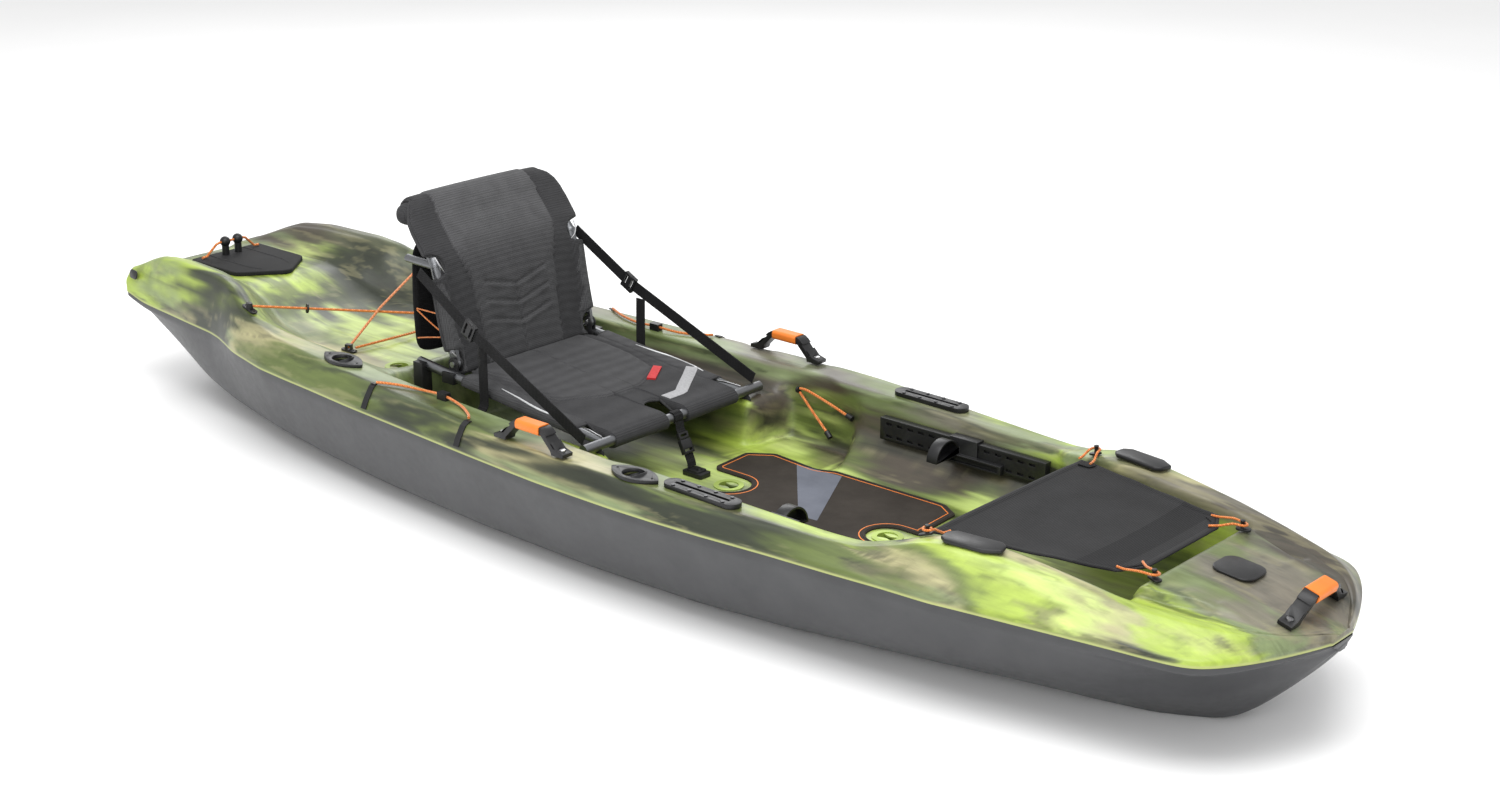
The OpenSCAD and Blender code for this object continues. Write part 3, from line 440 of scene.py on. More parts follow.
def rounded(poly, r, k=5):
    """closed 2D outline with rounded corners"""
    P = [np.array(p, float) for p in poly]
    out = []
    for i in range(len(P)):
        a, b, c = P[i - 1], P[i], P[(i + 1) % len(P)]
        la, lc = np.linalg.norm(a - b), np.linalg.norm(c - b)
        rr = r[i] if hasattr(r, "__len__") else r
        d = min(rr, 0.45 * la, 0.45 * lc)
        p, q = b + (a - b) / la * d, b + (c - b) / lc * d
        for j in range(k + 1):
            t = j / k
            out.append((1 - t) ** 2 * p + 2 * t * (1 - t) * b + t * t * q)
    return np.array(out)


def offset_poly(P, d):
    """closed counter-clockwise outline moved inwards by d"""
    n = len(P)
    out = []
    for i in range(n):
        a, b, c = P[i - 1], P[i], P[(i + 1) % n]
        t = (c - a)
        t = t / (np.linalg.norm(t) + 1e-12)
        out.append(b + d * np.array([-t[1], t[0]]))
    return np.array(out)


def slab(name, poly, z0, z1, mat, edge=1.0, place=None, r=None, rings=3):
    """flat plate with a rolled top edge; poly in mm, place maps (x, y, z) mm to metres"""
    P = rounded(poly, r) if r else np.array(poly, float)
    area2 = sum(P[i - 1][0] * P[i][1] - P[i][0] * P[i - 1][1] for i in range(len(P)))
    if area2 < 0:
        P = P[::-1]
    n = len(P)
    V, f = [(p[0], p[1], z0) for p in P] + [(p[0], p[1], z1 - edge) for p in P], []
    for k in range(1, rings + 1):
        a = math.pi / 2 * k / rings
        Q = offset_poly(P, edge * (1 - math.cos(a)))
        V += [(p[0], p[1], z1 - edge + edge * math.sin(a)) for p in Q]
    m = rings + 2
    f = grid_faces(m, n, True)
    f += [list(range(n))[::-1], [(m - 1) * n + k for k in range(n)]]
    V = np.array(V, float)
    V = np.array([place(*v) for v in V]) if place else V * MM
    return mesh_obj(name, V, f, mat, True, 40)


def soft_edges(node, width, mat, slot=None, seg=2, deg=32, sharp_deg=45):
    """the CAD node's shape with its hard edges rounded over"""
    src = nodes[node]
    me = src.data.copy()
    o = bpy.data.objects.new(node + "_moulded", me)
    bpy.context.scene.collection.objects.link(o)
    bm = bmesh.new()
    bm.from_mesh(me)
    bmesh.ops.remove_doubles(bm, verts=bm.verts, dist=1e-5)
    bmesh.ops.dissolve_limit(bm, angle_limit=math.radians(1.0), verts=bm.verts, edges=bm.edges)
    bm.to_mesh(me)
    bm.free()
    me.materials.clear()
    me.materials.append(mat)
    apply(o, ("BEVEL", dict(width=width * MM, segments=seg, limit_method="ANGLE", angle_limit=math.radians(deg), use_clamp_overlap=True)))
    sharp(o, sharp_deg)
    return put(o, src["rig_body"], node, slot=slot)


# ------------------------------------------------------------------ the two shells, from the table of offsets
RAW = {
    "SB": "-1600:222 -1570:222 -1540:225 -1500:231 -1400:243 -1300:256 -1200:268 -1150:281 -1100:300 -1050:320 -1000:333 -900:356 -800:366 -700:374 -560:388 -340:404 -135:419 0:427 80:431 180:432 276:432 390:428 500:420 640:406 800:394 1000:375 1172:338 1328:309 1400:298 1450:287 1480:272 1500:252 1525:216 1546:180 1565:139 1580:100 1592:66 1600:40",
    "SZ": "-1600:234 -1570:226 -1540:221 -1500:220 -1000:220 -700:219 0:218 900:218 1050:215 1172:211 1328:208 1450:206 1600:203",
    "GY": "-1600:205 -1560:208 -1500:216 -1446:225 -1350:240 -1200:250 -1150:256 -1100:270 -1050:288 -1000:303 -900:326 -800:338 -700:348 -560:362 -340:380 -135:398 80:411 200:412 276:411 390:402 500:390 640:378 740:370 820:358 880:336 950:318 1050:301 1150:287 1250:273 1350:255 1450:226 1500:200 1540:160 1570:114 1590:66 1600:30",
    "GZ": "-1600:293 -1580:300 -1540:316 -1500:333 -1446:352 -1350:361 -1180:360 -1120:350 -1080:333 -1050:318 -1000:302 -900:291 -700:284 -500:279 -200:275 0:274 200:273 400:271 600:267 740:264 820:266 880:279 940:297 1000:302 1050:301 1150:292 1250:281 1350:267 1450:256 1520:246 1560:237 1590:226 1600:221",
    "IY": "-1600:160 -1540:178 -1500:186 -1446:194 -1350:203 -1200:212 -1120:232 -1050:252 -1000:262 -900:270 -620:280 -540:290 -340:302 -158:310 0:320 94:330 200:334 235:323 330:321 531:321 673:318 803:312 870:286 920:262 1000:246 1050:238 1100:233 1200:231 1300:229 1400:206 1515:160 1560:108 1590:42 1600:20",
    "Y2": "-1600:100 -1240:110 -1200:118 -1150:130 -1050:150 -900:180 -720:200 -600:202 -545:196 -520:182 60:188 80:190 94:300 200:302 288:296 304:215 850:215 905:210 1000:195 1100:185 1270:170 1290:174 1310:172 1400:135 1450:126 1515:126 1560:80 1590:24 1600:10",
    "Z2": "-1600:282 -1580:287 -1540:298 -1500:302 -1240:302 -1200:293 -1150:274 -1100:254 -1050:240 -1000:235 -608:235 -592:250 -580:262 -540:262 -515:120 1272:120 1292:270 1300:279 1400:272 1450:264 1515:247 1543:239 1570:231 1590:223.5 1600:219",
    "Y3": "-1600:112 -1240:124 -1100:155 -900:192 -720:209 -620:211 -520:200 60:200 80:202 94:311 200:313 288:306 304:229 850:229 905:224 1000:208 1100:196 1270:180 1290:182 1310:182 1400:145 1450:136 1515:138 1560:90 1590:30 1600:13",
    "Z3": "-1600:284 -1580:288 -1540:299 -1500:303 -1240:304 -1150:280 -1100:258 -1050:243 -900:238 -608:238 -592:252 -580:263 -540:263 -515:128 1272:128 1292:268 1300:277 1400:270 1515:247 1590:224 1600:219",
    "Y4": "-1600:124 -1500:150 -1240:150 -1100:176 -900:204 -620:220 -540:220 -515:208 60:214 80:216 94:318 200:320 288:312 304:250 850:250 905:238 1000:221 1100:206 1270:192 1292:190 1310:188 1400:151 1515:146 1560:98 1590:36 1600:15",
    "Z4": "-1600:287 -1580:291 -1500:310 -1240:318 -1150:300 -1050:254 -900:246 -608:246 -592:256 -580:264 -540:264 -515:216 60:216 80:212 94:150 288:150 304:142 1262:148 1280:170 1292:262 1310:258 1400:252 1515:246 1590:224 1600:219",
    "Y5": "-1600:134 -1500:162 -1446:170 -1240:180 -1100:203 -900:226 -620:240 -540:250 -515:286 60:294 80:296 94:324 200:326 288:316 304:302 673:301 803:298 850:282 905:248 1000:232 1100:219 1270:214 1310:214 1400:184 1515:152 1560:102 1590:38 1600:17",
    "Z5": "-1600:290 -1580:295 -1500:320 -1446:334 -1240:338 -1120:322 -1050:275 -900:258 -608:258 -580:268 -540:268 -515:222 80:222 94:200 288:200 304:190 850:190 905:200 1262:205 1280:215 1292:262 1310:258 1400:250 1515:246 1590:224 1600:219",
    "Y6": "-1600:148 -1500:175 -1446:184 -1240:198 -1120:220 -1000:240 -900:250 -620:262 -540:274 -515:298 0:314 80:322 94:327 200:330 288:319 304:315 673:312 803:307 870:280 920:257 1000:240 1100:228 1200:226 1310:224 1400:199 1515:156 1560:105 1590:40 1600:18",
    "Z6": "-1600:291 -1580:297 -1500:329 -1446:346 -1350:354 -1200:353 -1120:339 -1050:300 -1000:284 -900:274 -620:270 -540:271 -515:250 0:246 80:248 288:250 304:240 850:245 905:262 1262:266 1310:264 1400:256 1515:247 1590:225 1600:219.5",
    "KZ": "-1600:182 -1560:130 -1500:74 -1400:28 -1300:7 -1220:0 1350:0 1400:4 1430:13 1466:38 1512:82 1550:122 1576:152 1592:173 1600:183",
    "PB": "-1600:60 -1500:90 -1320:140 -1095:190 -960:210 -742:245 -530:270 -200:292 118:298 400:286 610:255 800:205 1010:165 1205:130 1300:106 1374:66 1430:46 1500:36 1560:30 1600:16",
    "CY": "-1600:160 -1500:186 -1400:206 -1320:228 -1200:250 -1095:264 -960:291 -742:320 -530:341 -200:363 118:369 400:361 610:346 800:335 990:320 1205:285 1310:252 1384:218 1470:160 1550:92 1590:38 1600:20",
    "CZ": "-1600:196 -1500:152 -1400:126 -1320:110 -1200:90 -1095:75 -960:65 -742:58 -530:54 -200:52 118:52 400:55 610:62 800:75 990:93 1205:114 1310:130 1384:142 1470:158 1550:176 1590:187 1600:192",
}
TAB = {k: np.array([[float(a) for a in p.split(":")] for p in v.split()]) for k, v in RAW.items()}


def at(name, x):
    t = TAB[name]
    return np.interp(x, t[:, 0], t[:, 1])


def deck_half(x):
    iy, gy, gz, sb, sz = (at(k, x) for k in ("IY", "GY", "GZ", "SB", "SZ"))
    e = np.minimum(9, 0.28 * (gy - iy))
    y2, z2 = at("Y2", x), at("Z2", x)
    b = np.where(x < -1500, 10, 5)
    rows = [(0 * x, z2), (0.5 * y2, z2), (y2, z2)] + [(at("Y%d" % k, x), at("Z%d" % k, x)) for k in (3, 4, 5, 6)]
    rows += [(iy, gz - 5), (iy + e, gz - 1), (gy - e, gz), (gy, gz - 5), (gy + 0.45 * (sb - gy) + b, gz - 5 - 0.45 * (gz - 5 - sz)),
             (sb, sz + np.minimum(12, 0.4 * (gz - 5 - sz))), (sb, sz + 0.5)]
    return np.array(rows).transpose(2, 0, 1)


def hull_half(x):
    k, p, cy, cz, sb, sz = at("KZ", x), at("PB", x), at("CY", x), at("CZ", x), at("SB", x) - 2, at("SZ", x) - 0.5
    d = np.maximum(0, 12 - k) * np.minimum(1, p / 200)
    kk = np.minimum(k, 70)
    rows = [(0 * x, k), (0.25 * p, k), (0.42 * p, k + d), (0.6 * p, k + 0.5 * d), (0.7 * p, k + 0.02 * kk), (0.9 * p, k + 0.05 * kk),
            (p + 0.12 * (cy - p), k + 0.14 * (cz - k) + 1), (p + 0.6 * (cy - p), k + 0.52 * (cz - k)), (cy, cz),
            (cy + 0.34 * (sb - cy) + 2, cz + 0.3 * (sz - cz)), (cy + 0.72 * (sb - cy) + 2, cz + 0.66 * (sz - cz)),
            (sb, sz - np.minimum(14, 0.34 * (sz - cz))), (sb, sz)]
    return np.array(rows).transpose(2, 0, 1)


XS = np.linspace(-1600, 1600, 457)


def smooth_x(H, sigma):
    step = XS[1] - XS[0]
    k = np.arange(-6, 7)
    w = np.exp(-0.5 * (k * step / sigma) ** 2)
    w /= w.sum()
    pad = np.concatenate([H[:1].repeat(6, 0), H, H[-1:].repeat(6, 0)])
    S = sum(w[i] * pad[i:i + len(H)] for i in range(13))
    near = np.clip((1600 - np.abs(XS)) / 40, 0, 1)[:, None, None]
    return H * (1 - near) + S * near


def section(H, radii, seg):
    """full rounded section lines: H is (n, k, 2) from the centreline out"""
    F = np.concatenate([H[:, ::-1] * np.array([-1, 1]), H[:, 1:]], 1)
    R = list(radii[::-1]) + list(radii[1:])
    n, m = F.shape[:2]
    cols = [F[:, 0]]
    prev = F[:, 0]
    for j in range(1, m - 1):
        a, b, c = F[:, j - 1], F[:, j], F[:, j + 1]
        la, lc = np.linalg.norm(a - b, axis=1), np.linalg.norm(c - b, axis=1)
        d = np.minimum(R[j], 0.46 * np.minimum(la, lc))[:, None]
        p, q = b + (a - b) / (la[:, None] + 1e-9) * d, b + (c - b) / (lc[:, None] + 1e-9) * d
        for s in range(1, seg + 1):
            cols.append(prev + (p - prev) * s / (seg + 1))
        for s in range(5):
            t = s / 4
            cols.append((1 - t) ** 2 * p + 2 * t * (1 - t) * b + t * t * q)
        prev = q
    for s in range(1, seg + 2):
        cols.append(prev + (F[:, -1] - prev) * s / (seg + 1))
    return np.stack(cols, 1)


def skin(name, G, mat, holes, thick, flip):
    """closed skin from a grid of section lines, with round holes"""
    n, m = G.shape[:2]
    V = np.concatenate([np.repeat(XS, m)[:, None], G.reshape(-1, 2)], 1)
    caps = []
    c0 = np.array([[XS[0], 0, G[0, :, 1].mean()], [XS[-1], 0, G[-1, :, 1].mean()]])
    rings, base = [], n * m
    for e, (row, s) in enumerate(((G[0], -1), (G[-1], 1))):
        last = None
        for k, (sc, dx) in enumerate(((0.965, 2.2), (0.90, 3.6))):
            ring = np.concatenate([np.full((m, 1), XS[0 if s < 0 else -1] + s * dx), row], 1)
            ring[:, 1] *= sc
            ring[:, 2] = c0[e][2] + (ring[:, 2] - c0[e][2]) * sc
            rings.append(ring)
    V = np.concatenate([V] + rings)
    f = grid_faces(n, m)
    for e in range(2):
        a0 = 0 if e == 0 else (n - 1) * m
        b0, b1 = base + (2 * e) * m, base + (2 * e + 1) * m
        for x0, x1 in ((a0, b0), (b0, b1)):
            for j in range(m - 1):
                q = [x0 + j, x1 + j, x1 + j + 1, x0 + j + 1]
                f.append(q if e else q[::-1])
        f.append([b1 + j for j in range(m)])
    me = bpy.data.meshes.new(name)
    me.from_pydata([tuple(v) for v in V * MM], [], f)
    bm = bmesh.new()
    bm.from_mesh(me)
    bm.verts.ensure_lookup_table()
    for hx, hy, rx, ry, zlo, zhi in holes:
        gone = []
        for face in bm.faces:
            if len(face.verts) > 8:
                continue
            ok = True
            for v in face.verts:
                x, y, z = (c / MM for c in v.co)
                if ((x - hx) / rx) ** 2 + ((y - hy) / ry) ** 2 > 1.0 or not zlo < z < zhi:
                    ok = False
                    break
            if ok:
                gone.append(face)
        bmesh.ops.delete(bm, geom=gone, context="FACES")
        for v in bm.verts:
            if v.is_boundary or v.is_wire:
                x, y, z = (c / MM for c in v.co)
                d = math.hypot((x - hx) / rx, (y - hy) / ry)
                if 0.3 < d < 1.02 and zlo < z < zhi:
                    v.co.x = (hx + (x - hx) / d) * MM
                    v.co.y = (hy + (y - hy) / d) * MM
    loose = [v for v in bm.verts if not v.link_faces]
    bmesh.ops.delete(bm, geom=loose, context="VERTS")
    bmesh.ops.recalc_face_normals(bm, faces=bm.faces)
    up = sum(fc.normal.z * fc.calc_area() for fc in bm.faces if len(fc.verts) < 9)
    if (up > 0) == flip:
        bmesh.ops.reverse_faces(bm, faces=bm.faces)
    bm.to_mesh(me)
    bm.free()
    me.materials.append(mat)
    me.polygons.foreach_set("use_smooth", [True] * len(me.polygons))
    o = bpy.data.objects.new(name, me)
    bpy.context.scene.collection.objects.link(o)
    return o


SCUP = [(201, 0), (621, 0), (-645, 163), (-645, -163)]
RODS = [(292, -374), (-652, -314), (-652, 314)]


def deck_z(x, y):
    h = deck_half(np.array([float(x)]))[0]
    return float(np.interp(abs(y), h[:, 0], h[:, 1]))

# colour layout of the deck: soft patches, x, y, reach along x, reach along y, colour, strength
LIME, LIME2, OLIVE, DARK, SAND, BROWN, SAGE, TAUPE = ((0.36, 0.475, 0.070), (0.48, 0.60, 0.17), (0.105, 0.14, 0.035), (0.022, 0.027, 0.016),
    (0.40, 0.37, 0.20), (0.060, 0.048, 0.036), (0.20, 0.25, 0.12), (0.16, 0.145, 0.115))
PATCH = [
    # stern
    (-1570, -170, 70, 120, LIME, 2.2), (-1450, -215, 90, 50, SAGE, 1.2), (-1430, -250, 90, 30, SAND, 1.4), (-1330, -200, 90, 45, LIME, 1.3),
    (-1250, -235, 90, 40, DARK, 1.4), (-1400, -60, 150, 90, OLIVE, 0.8), (-1220, -60, 110, 90, LIME, 1.8), (-1290, 60, 90, 90, LIME2, 1.2),
    (-1150, 60, 110, 90, LIME, 1.2), (-1400, 200, 220, 60, BROWN, 1.6), (-1250, 210, 160, 60, SAGE, 0.9), (-1060, 120, 110, 120, DARK, 1.8),
    (-1050, -130, 110, 90, OLIVE, 1.3), (-1100, -260, 130, 50, DARK, 1.5), (-960, -240, 110, 60, LIME, 1.1), (-930, -320, 90, 35, SAND, 1.2),
    (-900, 0, 120, 120, DARK, 1.2), (-760, 0, 100, 110, LIME2, 2.0), (-760, -190, 100, 70, SAND, 1.2), (-720, 220, 150, 90, OLIVE, 1.4),
    (-660, -270, 110, 60, SAGE, 1.4), (-790, -345, 110, 30, OLIVE, 1.4), (-600, -200, 90, 90, OLIVE, 1.2),
    # starboard side and gunwale
    (-600, -380, 140, 35, OLIVE, 1.6), (-470, -350, 110, 35, SAGE, 1.2), (-360, -390, 120, 35, DARK, 1.3), (-250, -360, 100, 35, OLIVE, 1.3),
    (-180, -410, 90, 30, OLIVE, 1.2), (-60, -380, 90, 35, SAND, 1.3), (20, -420, 100, 30, DARK, 1.2), (110, -370, 90, 40, SAND, 1.5),
    (180, -425, 100, 25, SAND, 0.9), (260, -365, 90, 45, OLIVE, 1.4), (350, -415, 120, 30, DARK, 2.0), (460, -350, 100, 30, DARK, 1.2),
    (560, -400, 110, 30, DARK, 1.8), (640, -335, 120, 26, LIME, 2.2), (760, -330, 110, 30, LIME2, 1.6), (720, -395, 120, 30, OLIVE, 1.8),
    (860, -370, 90, 30, SAND, 1.6), (880, -300, 60, 35, DARK, 1.2), (960, -350, 110, 30, OLIVE, 1.3), (1010, -300, 90, 30, SAND, 1.2),
    (1110, -325, 100, 35, LIME, 2.2), (1090, -260, 110, 35, SAND, 1.1), (1200, -300, 110, 40, LIME2, 1.8), (1190, -335, 90, 22, DARK, 1.5),
    (1290, -290, 80, 40, SAND, 1.2), (1390, -285, 90, 25, DARK, 1.9), (1400, -210, 90, 50, LIME, 2.0), (1500, -210, 80, 50, LIME, 1.6),
    # bow
    (1350, 0, 70, 120, OLIVE, 1.1), (1450, 0, 80, 110, TAUPE, 1.8), (1560, 0, 60, 110, TAUPE, 1.8), (1570, -110, 50, 50, SAGE, 1.3),
    (1400, 190, 130, 70, BROWN, 1.2), (1250, 250, 120, 45, TAUPE, 1.8), (1120, 270, 110, 45, SAND, 1.2), (1000, 290, 90, 40, SAGE, 1.5),
    (1520, 140, 80, 60, BROWN, 1.2), (1300, 310, 120, 30, BROWN, 1.2),
    # port gunwale and side
    (880, 320, 100, 40, LIME, 1.0), (760, 350, 120, 40, SAGE, 1.6), (600, 350, 120, 40, TAUPE, 1.3), (480, 370, 100, 40, SAGE, 1.2),
    (330, 370, 110, 45, OLIVE, 1.2), (170, 370, 90, 45, BROWN, 1.5), (40, 380, 90, 45, SAGE, 1.2), (-90, 380, 100, 45, TAUPE, 1.5),
    (-250, 370, 100, 45, SAGE, 1.5), (-420, 360, 110, 45, OLIVE, 1.3), (-600, 350, 120, 50, TAUPE, 1.3), (-850, 330, 150, 60, SAGE, 1.3),
    (-1050, 300, 120, 50, OLIVE, 1.3), (300, 425, 300, 25, DARK, 1.0), (800, 395, 200, 25, LIME, 1.0),
]
# patches inside the cockpit, below the gunwale
WELL = [
    (150, 0, 120, 200, LIME2, 1.6), (60, 120, 90, 120, LIME, 1.4), (60, -150, 90, 120, LIME, 1.2), (190, 265, 90, 60, LIME2, 1.4),
    (190, -265, 90, 60, LIME, 1.4), (400, 0, 160, 170, SAGE, 1.2), (640, 0, 120, 170, LIME, 1.4), (760, 40, 90, 200, LIME2, 1.8),
    (900, 0, 120, 150, LIME, 1.6), (1100, 0, 160, 140, LIME2, 1.6), (300, 270, 70, 40, OLIVE, 1.8), (420, 285, 130, 40, BROWN, 2.4),
    (600, 285, 150, 40, BROWN, 2.6), (800, 280, 120, 40, DARK, 2.2), (960, 240, 100, 50, BROWN, 1.6), (1150, 210, 130, 50, LIME, 1.6),
    (1150, -210, 160, 60, LIME2, 1.8), (500, -270, 300, 60, LIME, 1.6), (0, 290, 120, 40, BROWN, 2.6), (-150, 280, 140, 50, BROWN, 2.6),
    (-350, 270, 150, 60, OLIVE, 1.6), (-200, 0, 250, 180, OLIVE, 1.4), (-200, -270, 300, 60, OLIVE, 1.4), (-450, 0, 100, 200, SAGE, 1.2),
    (1330, 0, 50, 150, LIME, 1.2),
]


def value_noise(P, seed):
    """smooth lattice noise at points (n, 3), about -1 to 1"""
    i = np.floor(P).astype(np.int64)
    f = P - i
    f = f * f * (3 - 2 * f)
    out = np.zeros(len(P))
    for dx in (0, 1):
        for dy in (0, 1):
            for dz in (0, 1):
                h = ((i[:, 0] + dx) * 374761393 + (i[:, 1] + dy) * 668265263 + (i[:, 2] + dz) * 2147483647 + seed * 144665) & 0xFFFFFFFF
                h = ((h ^ (h >> 13)) * 1274126177) & 0xFFFFFFFF
                h = ((h ^ (h >> 16)) & 0xFFFF) / 32767.5 - 1
                w = (f[:, 0] if dx else 1 - f[:, 0]) * (f[:, 1] if dy else 1 - f[:, 1]) * (f[:, 2] if dz else 1 - f[:, 2])
                out += h * w
    return out


def fbm(P, seed, octaves=4):
    return sum(value_noise(P * 2 ** k, seed + k) * 0.5 ** k for k in range(octaves))


def paint_deck(o):
    co = np.zeros(len(o.data.vertices) * 3)
    o.data.vertices.foreach_get("co", co)
    P = co.reshape(-1, 3) / MM
    x, y, z = P.T
    q = P / np.array([560, 60, 60])
    wx = x + 170 * fbm(q, 1) + 40 * fbm(q * 3.1, 5)
    wy = y + 34 * fbm(q + 7.3, 11) + 16 * fbm(q * 3.3 + 2, 17)
    below = np.clip((np.interp(x, TAB["GZ"][:, 0], TAB["GZ"][:, 1]) - 24 - z) / 14, 0, 1) * (np.abs(y) < np.interp(x, TAB["IY"][:, 0], TAB["IY"][:, 1]) + 4) * (x > -560) * (x < 1320)

    def blend(patches, base):
        acc, tot = np.ones((len(x), 3)) * np.array(base) * 0.02, np.full(len(x), 0.02)
        for px, py, rx, ry, c, s in patches:
            d = ((wx - px) / (rx * 1.45)) ** 2 + ((wy - py) / (ry * 0.82)) ** 2
            w = s * np.exp(-0.9 * d)
            w = w ** 3.2
            acc += w[:, None] * np.array(c)
            tot += w
        return acc / tot[:, None]
    col = blend(PATCH, SAGE) * (1 - below)[:, None] + blend(WELL, OLIVE) * below[:, None]
    # long marbled streaks of dark and pale
    s1 = fbm(np.stack([wx / 380, wy / 24, z / 34], 1), 31)
    s2 = fbm(np.stack([wx / 340, wy / 17, z / 24], 1), 41)
    d = np.clip((s1 - 0.14) / 0.55, 0, 1)[:, None]
    col = col * (1 - 0.66 * d) + np.array(DARK) * 0.66 * d
    p = np.clip((s2 - 0.25) / 0.35, 0, 1)[:, None]
    col = col * (1 - 0.24 * p) + np.array(SAND) * 0.24 * p
    a = o.data.color_attributes.new("camo", "FLOAT_COLOR", "POINT")
    a.data.foreach_set("color", np.concatenate([col, np.ones((len(x), 1))], 1).astype(np.float32).ravel())
    sb, sz = np.interp(x, TAB["SB"][:, 0], TAB["SB"][:, 1]), np.interp(x, TAB["SZ"][:, 0], TAB["SZ"][:, 1])
    lip = np.clip(1 - np.abs(z - sz - 2.5) / 4.5, 0, 1) * (np.abs(y) > sb - 8)
    l = o.data.attributes.new("lip", "FLOAT", "POINT")
    l.data.foreach_set("value", lip.astype(np.float32))


def deck_material():
    m, b = new_mat("deck_marbled", (0.3, 0.4, 0.1), 0.42, spec=0.45, coat=0.12)
    b.inputs["Coat Roughness"].default_value = 0.35
    v = coords(m)
    a = nt(m, "ShaderNodeAttribute", attribute_name="camo")
    warp = nt(m, "ShaderNodeTexNoise", Scale=5.0, Detail=2)
    link(m, v, warp.inputs["Vector"])
    sv = mix(m, 0.10, mapped(m, v, (1.8, 16, 16)), warp.outputs["Color"])
    st = noise(m, sv, 1.5, 7, 0.6, 0.9)
    fine = noise(m, mapped(m, v, (9, 60, 60)), 1.0, 5, 0.6, 0.4)
    c = mix(m, 1.0, a.outputs["Color"], ramp(m, st, [(0.28, (0.50, 0.50, 0.47)), (0.46, (0.98, 0.98, 0.97)), (0.62, (1.08, 1.08, 1.04)), (0.75, (1.22, 1.20, 1.15))]), "MULTIPLY")
    c = mix(m, 1.0, c, ramp(m, fine, [(0.3, (0.82, 0.82, 0.80)), (0.7, (1.12, 1.12, 1.12))]), "MULTIPLY")
    lip = nt(m, "ShaderNodeAttribute", attribute_name="lip")
    c = mix(m, lip.outputs["Fac"], c, (0.42, 0.46, 0.16))
    link(m, c, b.inputs["Base Color"])
    r = math_node(m, "MULTIPLY_ADD", noise(m, v, 18, 3), 0.2)
    r.node.inputs[2].default_value = 0.32
    link(m, r, b.inputs["Roughness"])
    bump(m, b, noise(m, v, 420, 3), 0.22, 0.0007)
    return m


def hull_material():
    m = M["hull"]
    return m


M["deck"] = deck_material()


def relief(G):
    """moulded detail pressed into the deck: height change in mm at every grid point"""
    n, m = G.shape[:2]
    X = np.repeat(XS, m).reshape(n, m)
    Y, Z = G[..., 0].copy(), G[..., 1]
    ay = np.abs(Y)

    def box(x0, x1, y0, y1, soft):
        a = np.clip((X - x0) / soft, 0, 1) * np.clip((x1 - X) / soft, 0, 1) * np.clip((ay - y0) / soft, 0, 1) * np.clip((y1 - ay) / soft, 0, 1)
        return a * a * (3 - 2 * a)
    top = Z > np.interp(X, TAB["GZ"][:, 0], TAB["GZ"][:, 1]) - 16
    d = np.zeros_like(X)
    # shallow seats round the side handles' feet
    for hx in (-56, 112):
        d -= 3.0 * np.exp(-(((X - hx) / 40) ** 4 + ((ay - 392) / 26) ** 4)) * top
    # two hexagonal pockets on the foredeck and the ridge between them
    hexa = box(1322, 1440, 96, 186, 12) * (X > 1300)
    d -= 4.0 * hexa
    # cross ribs on the floor ahead of the mat
    rib = (X > 668) & (X < 790) & (ay < 150) & (Z < 140)
    d += np.where(rib & (ay > 40), 2.0 * np.clip(np.cos(2 * math.pi * (X - 668) / 17.5) * 1.6, 0, 1), 0)
    # long grooves on the stern platform
    plat = (X < -1250) & (X > -1580)
    for gy in (126,):
        d -= 3.0 * np.exp(-((ay - gy) / 5) ** 2) * plat
    # tank-well stiffening grooves
    well = (X > -1010) & (X < -620) & (Z < 262)
    for gy in (30, 90, 140):
        d -= 2.2 * np.exp(-((ay - gy) / 6) ** 2) * well * np.clip((X + 1010) / 40, 0, 1) * np.clip((-640 - X) / 30, 0, 1)
    # round moulded disc on the floor beside the mat
    d += 3.0 * np.clip((33 - np.hypot(X - 120, ay - 262)) / 4, 0, 1) * (Z < 250)
    return d


def build_shells():
    Hd = smooth_x(deck_half(XS), 11)
    D = section(Hd, [6, 10, 14, 14, 12, 10, 10, 7, 5, 7, 8, 26, 10, 4], 2)
    D[..., 1] += relief(D)
    holes = [(x, y, 27, 27, 100 if x > 0 else 215, 150 if x > 0 else 260) for x, y in SCUP]
    holes += [(x, y, 30, 27, 240, 320) for x, y in RODS]
    deck = skin("deck_skin", D, M["deck"], holes, 4, False)
    Hh = smooth_x(hull_half(XS), 11)
    Hs = section(Hh, [6, 8, 10, 8, 8, 12, 20, 20, 22, 20, 20, 6, 3], 1)
    hull = skin("hull_skin", Hs, hull_material(), [(x, y, 27, 27, -20, 60) for x, y in SCUP] + [], 4, True)
    for o in (deck, hull):
        apply(o, ("SOLIDIFY", dict(thickness=3.4 * MM, offset=-1, use_even_offset=False, use_quality_normals=False)))
        o.data.polygons.foreach_set("use_smooth", [True] * len(o.data.polygons))
        o.data.set_sharp_from_angle(angle=math.radians(60))
    paint_deck(deck)
    put(deck, "hull", "deck_shell", slot="deck_plastic")
    put(hull, "hull", "hull_shell", slot="hull_plastic")
    return deck, hull


deck, hull = build_shells()

# ------------------------------------------------------------------ seat
def arc_param(P, n):
    d = np.concatenate([[0], np.cumsum(np.linalg.norm(np.diff(P, axis=0), axis=1))])
    s = np.linspace(0, d[-1], n)
    return np.stack([np.interp(s, d, P[:, k]) for k in range(P.shape[1])], 1), s


def bumpf(x, c, w):
    return np.exp(-((x - c) / w) ** 2)


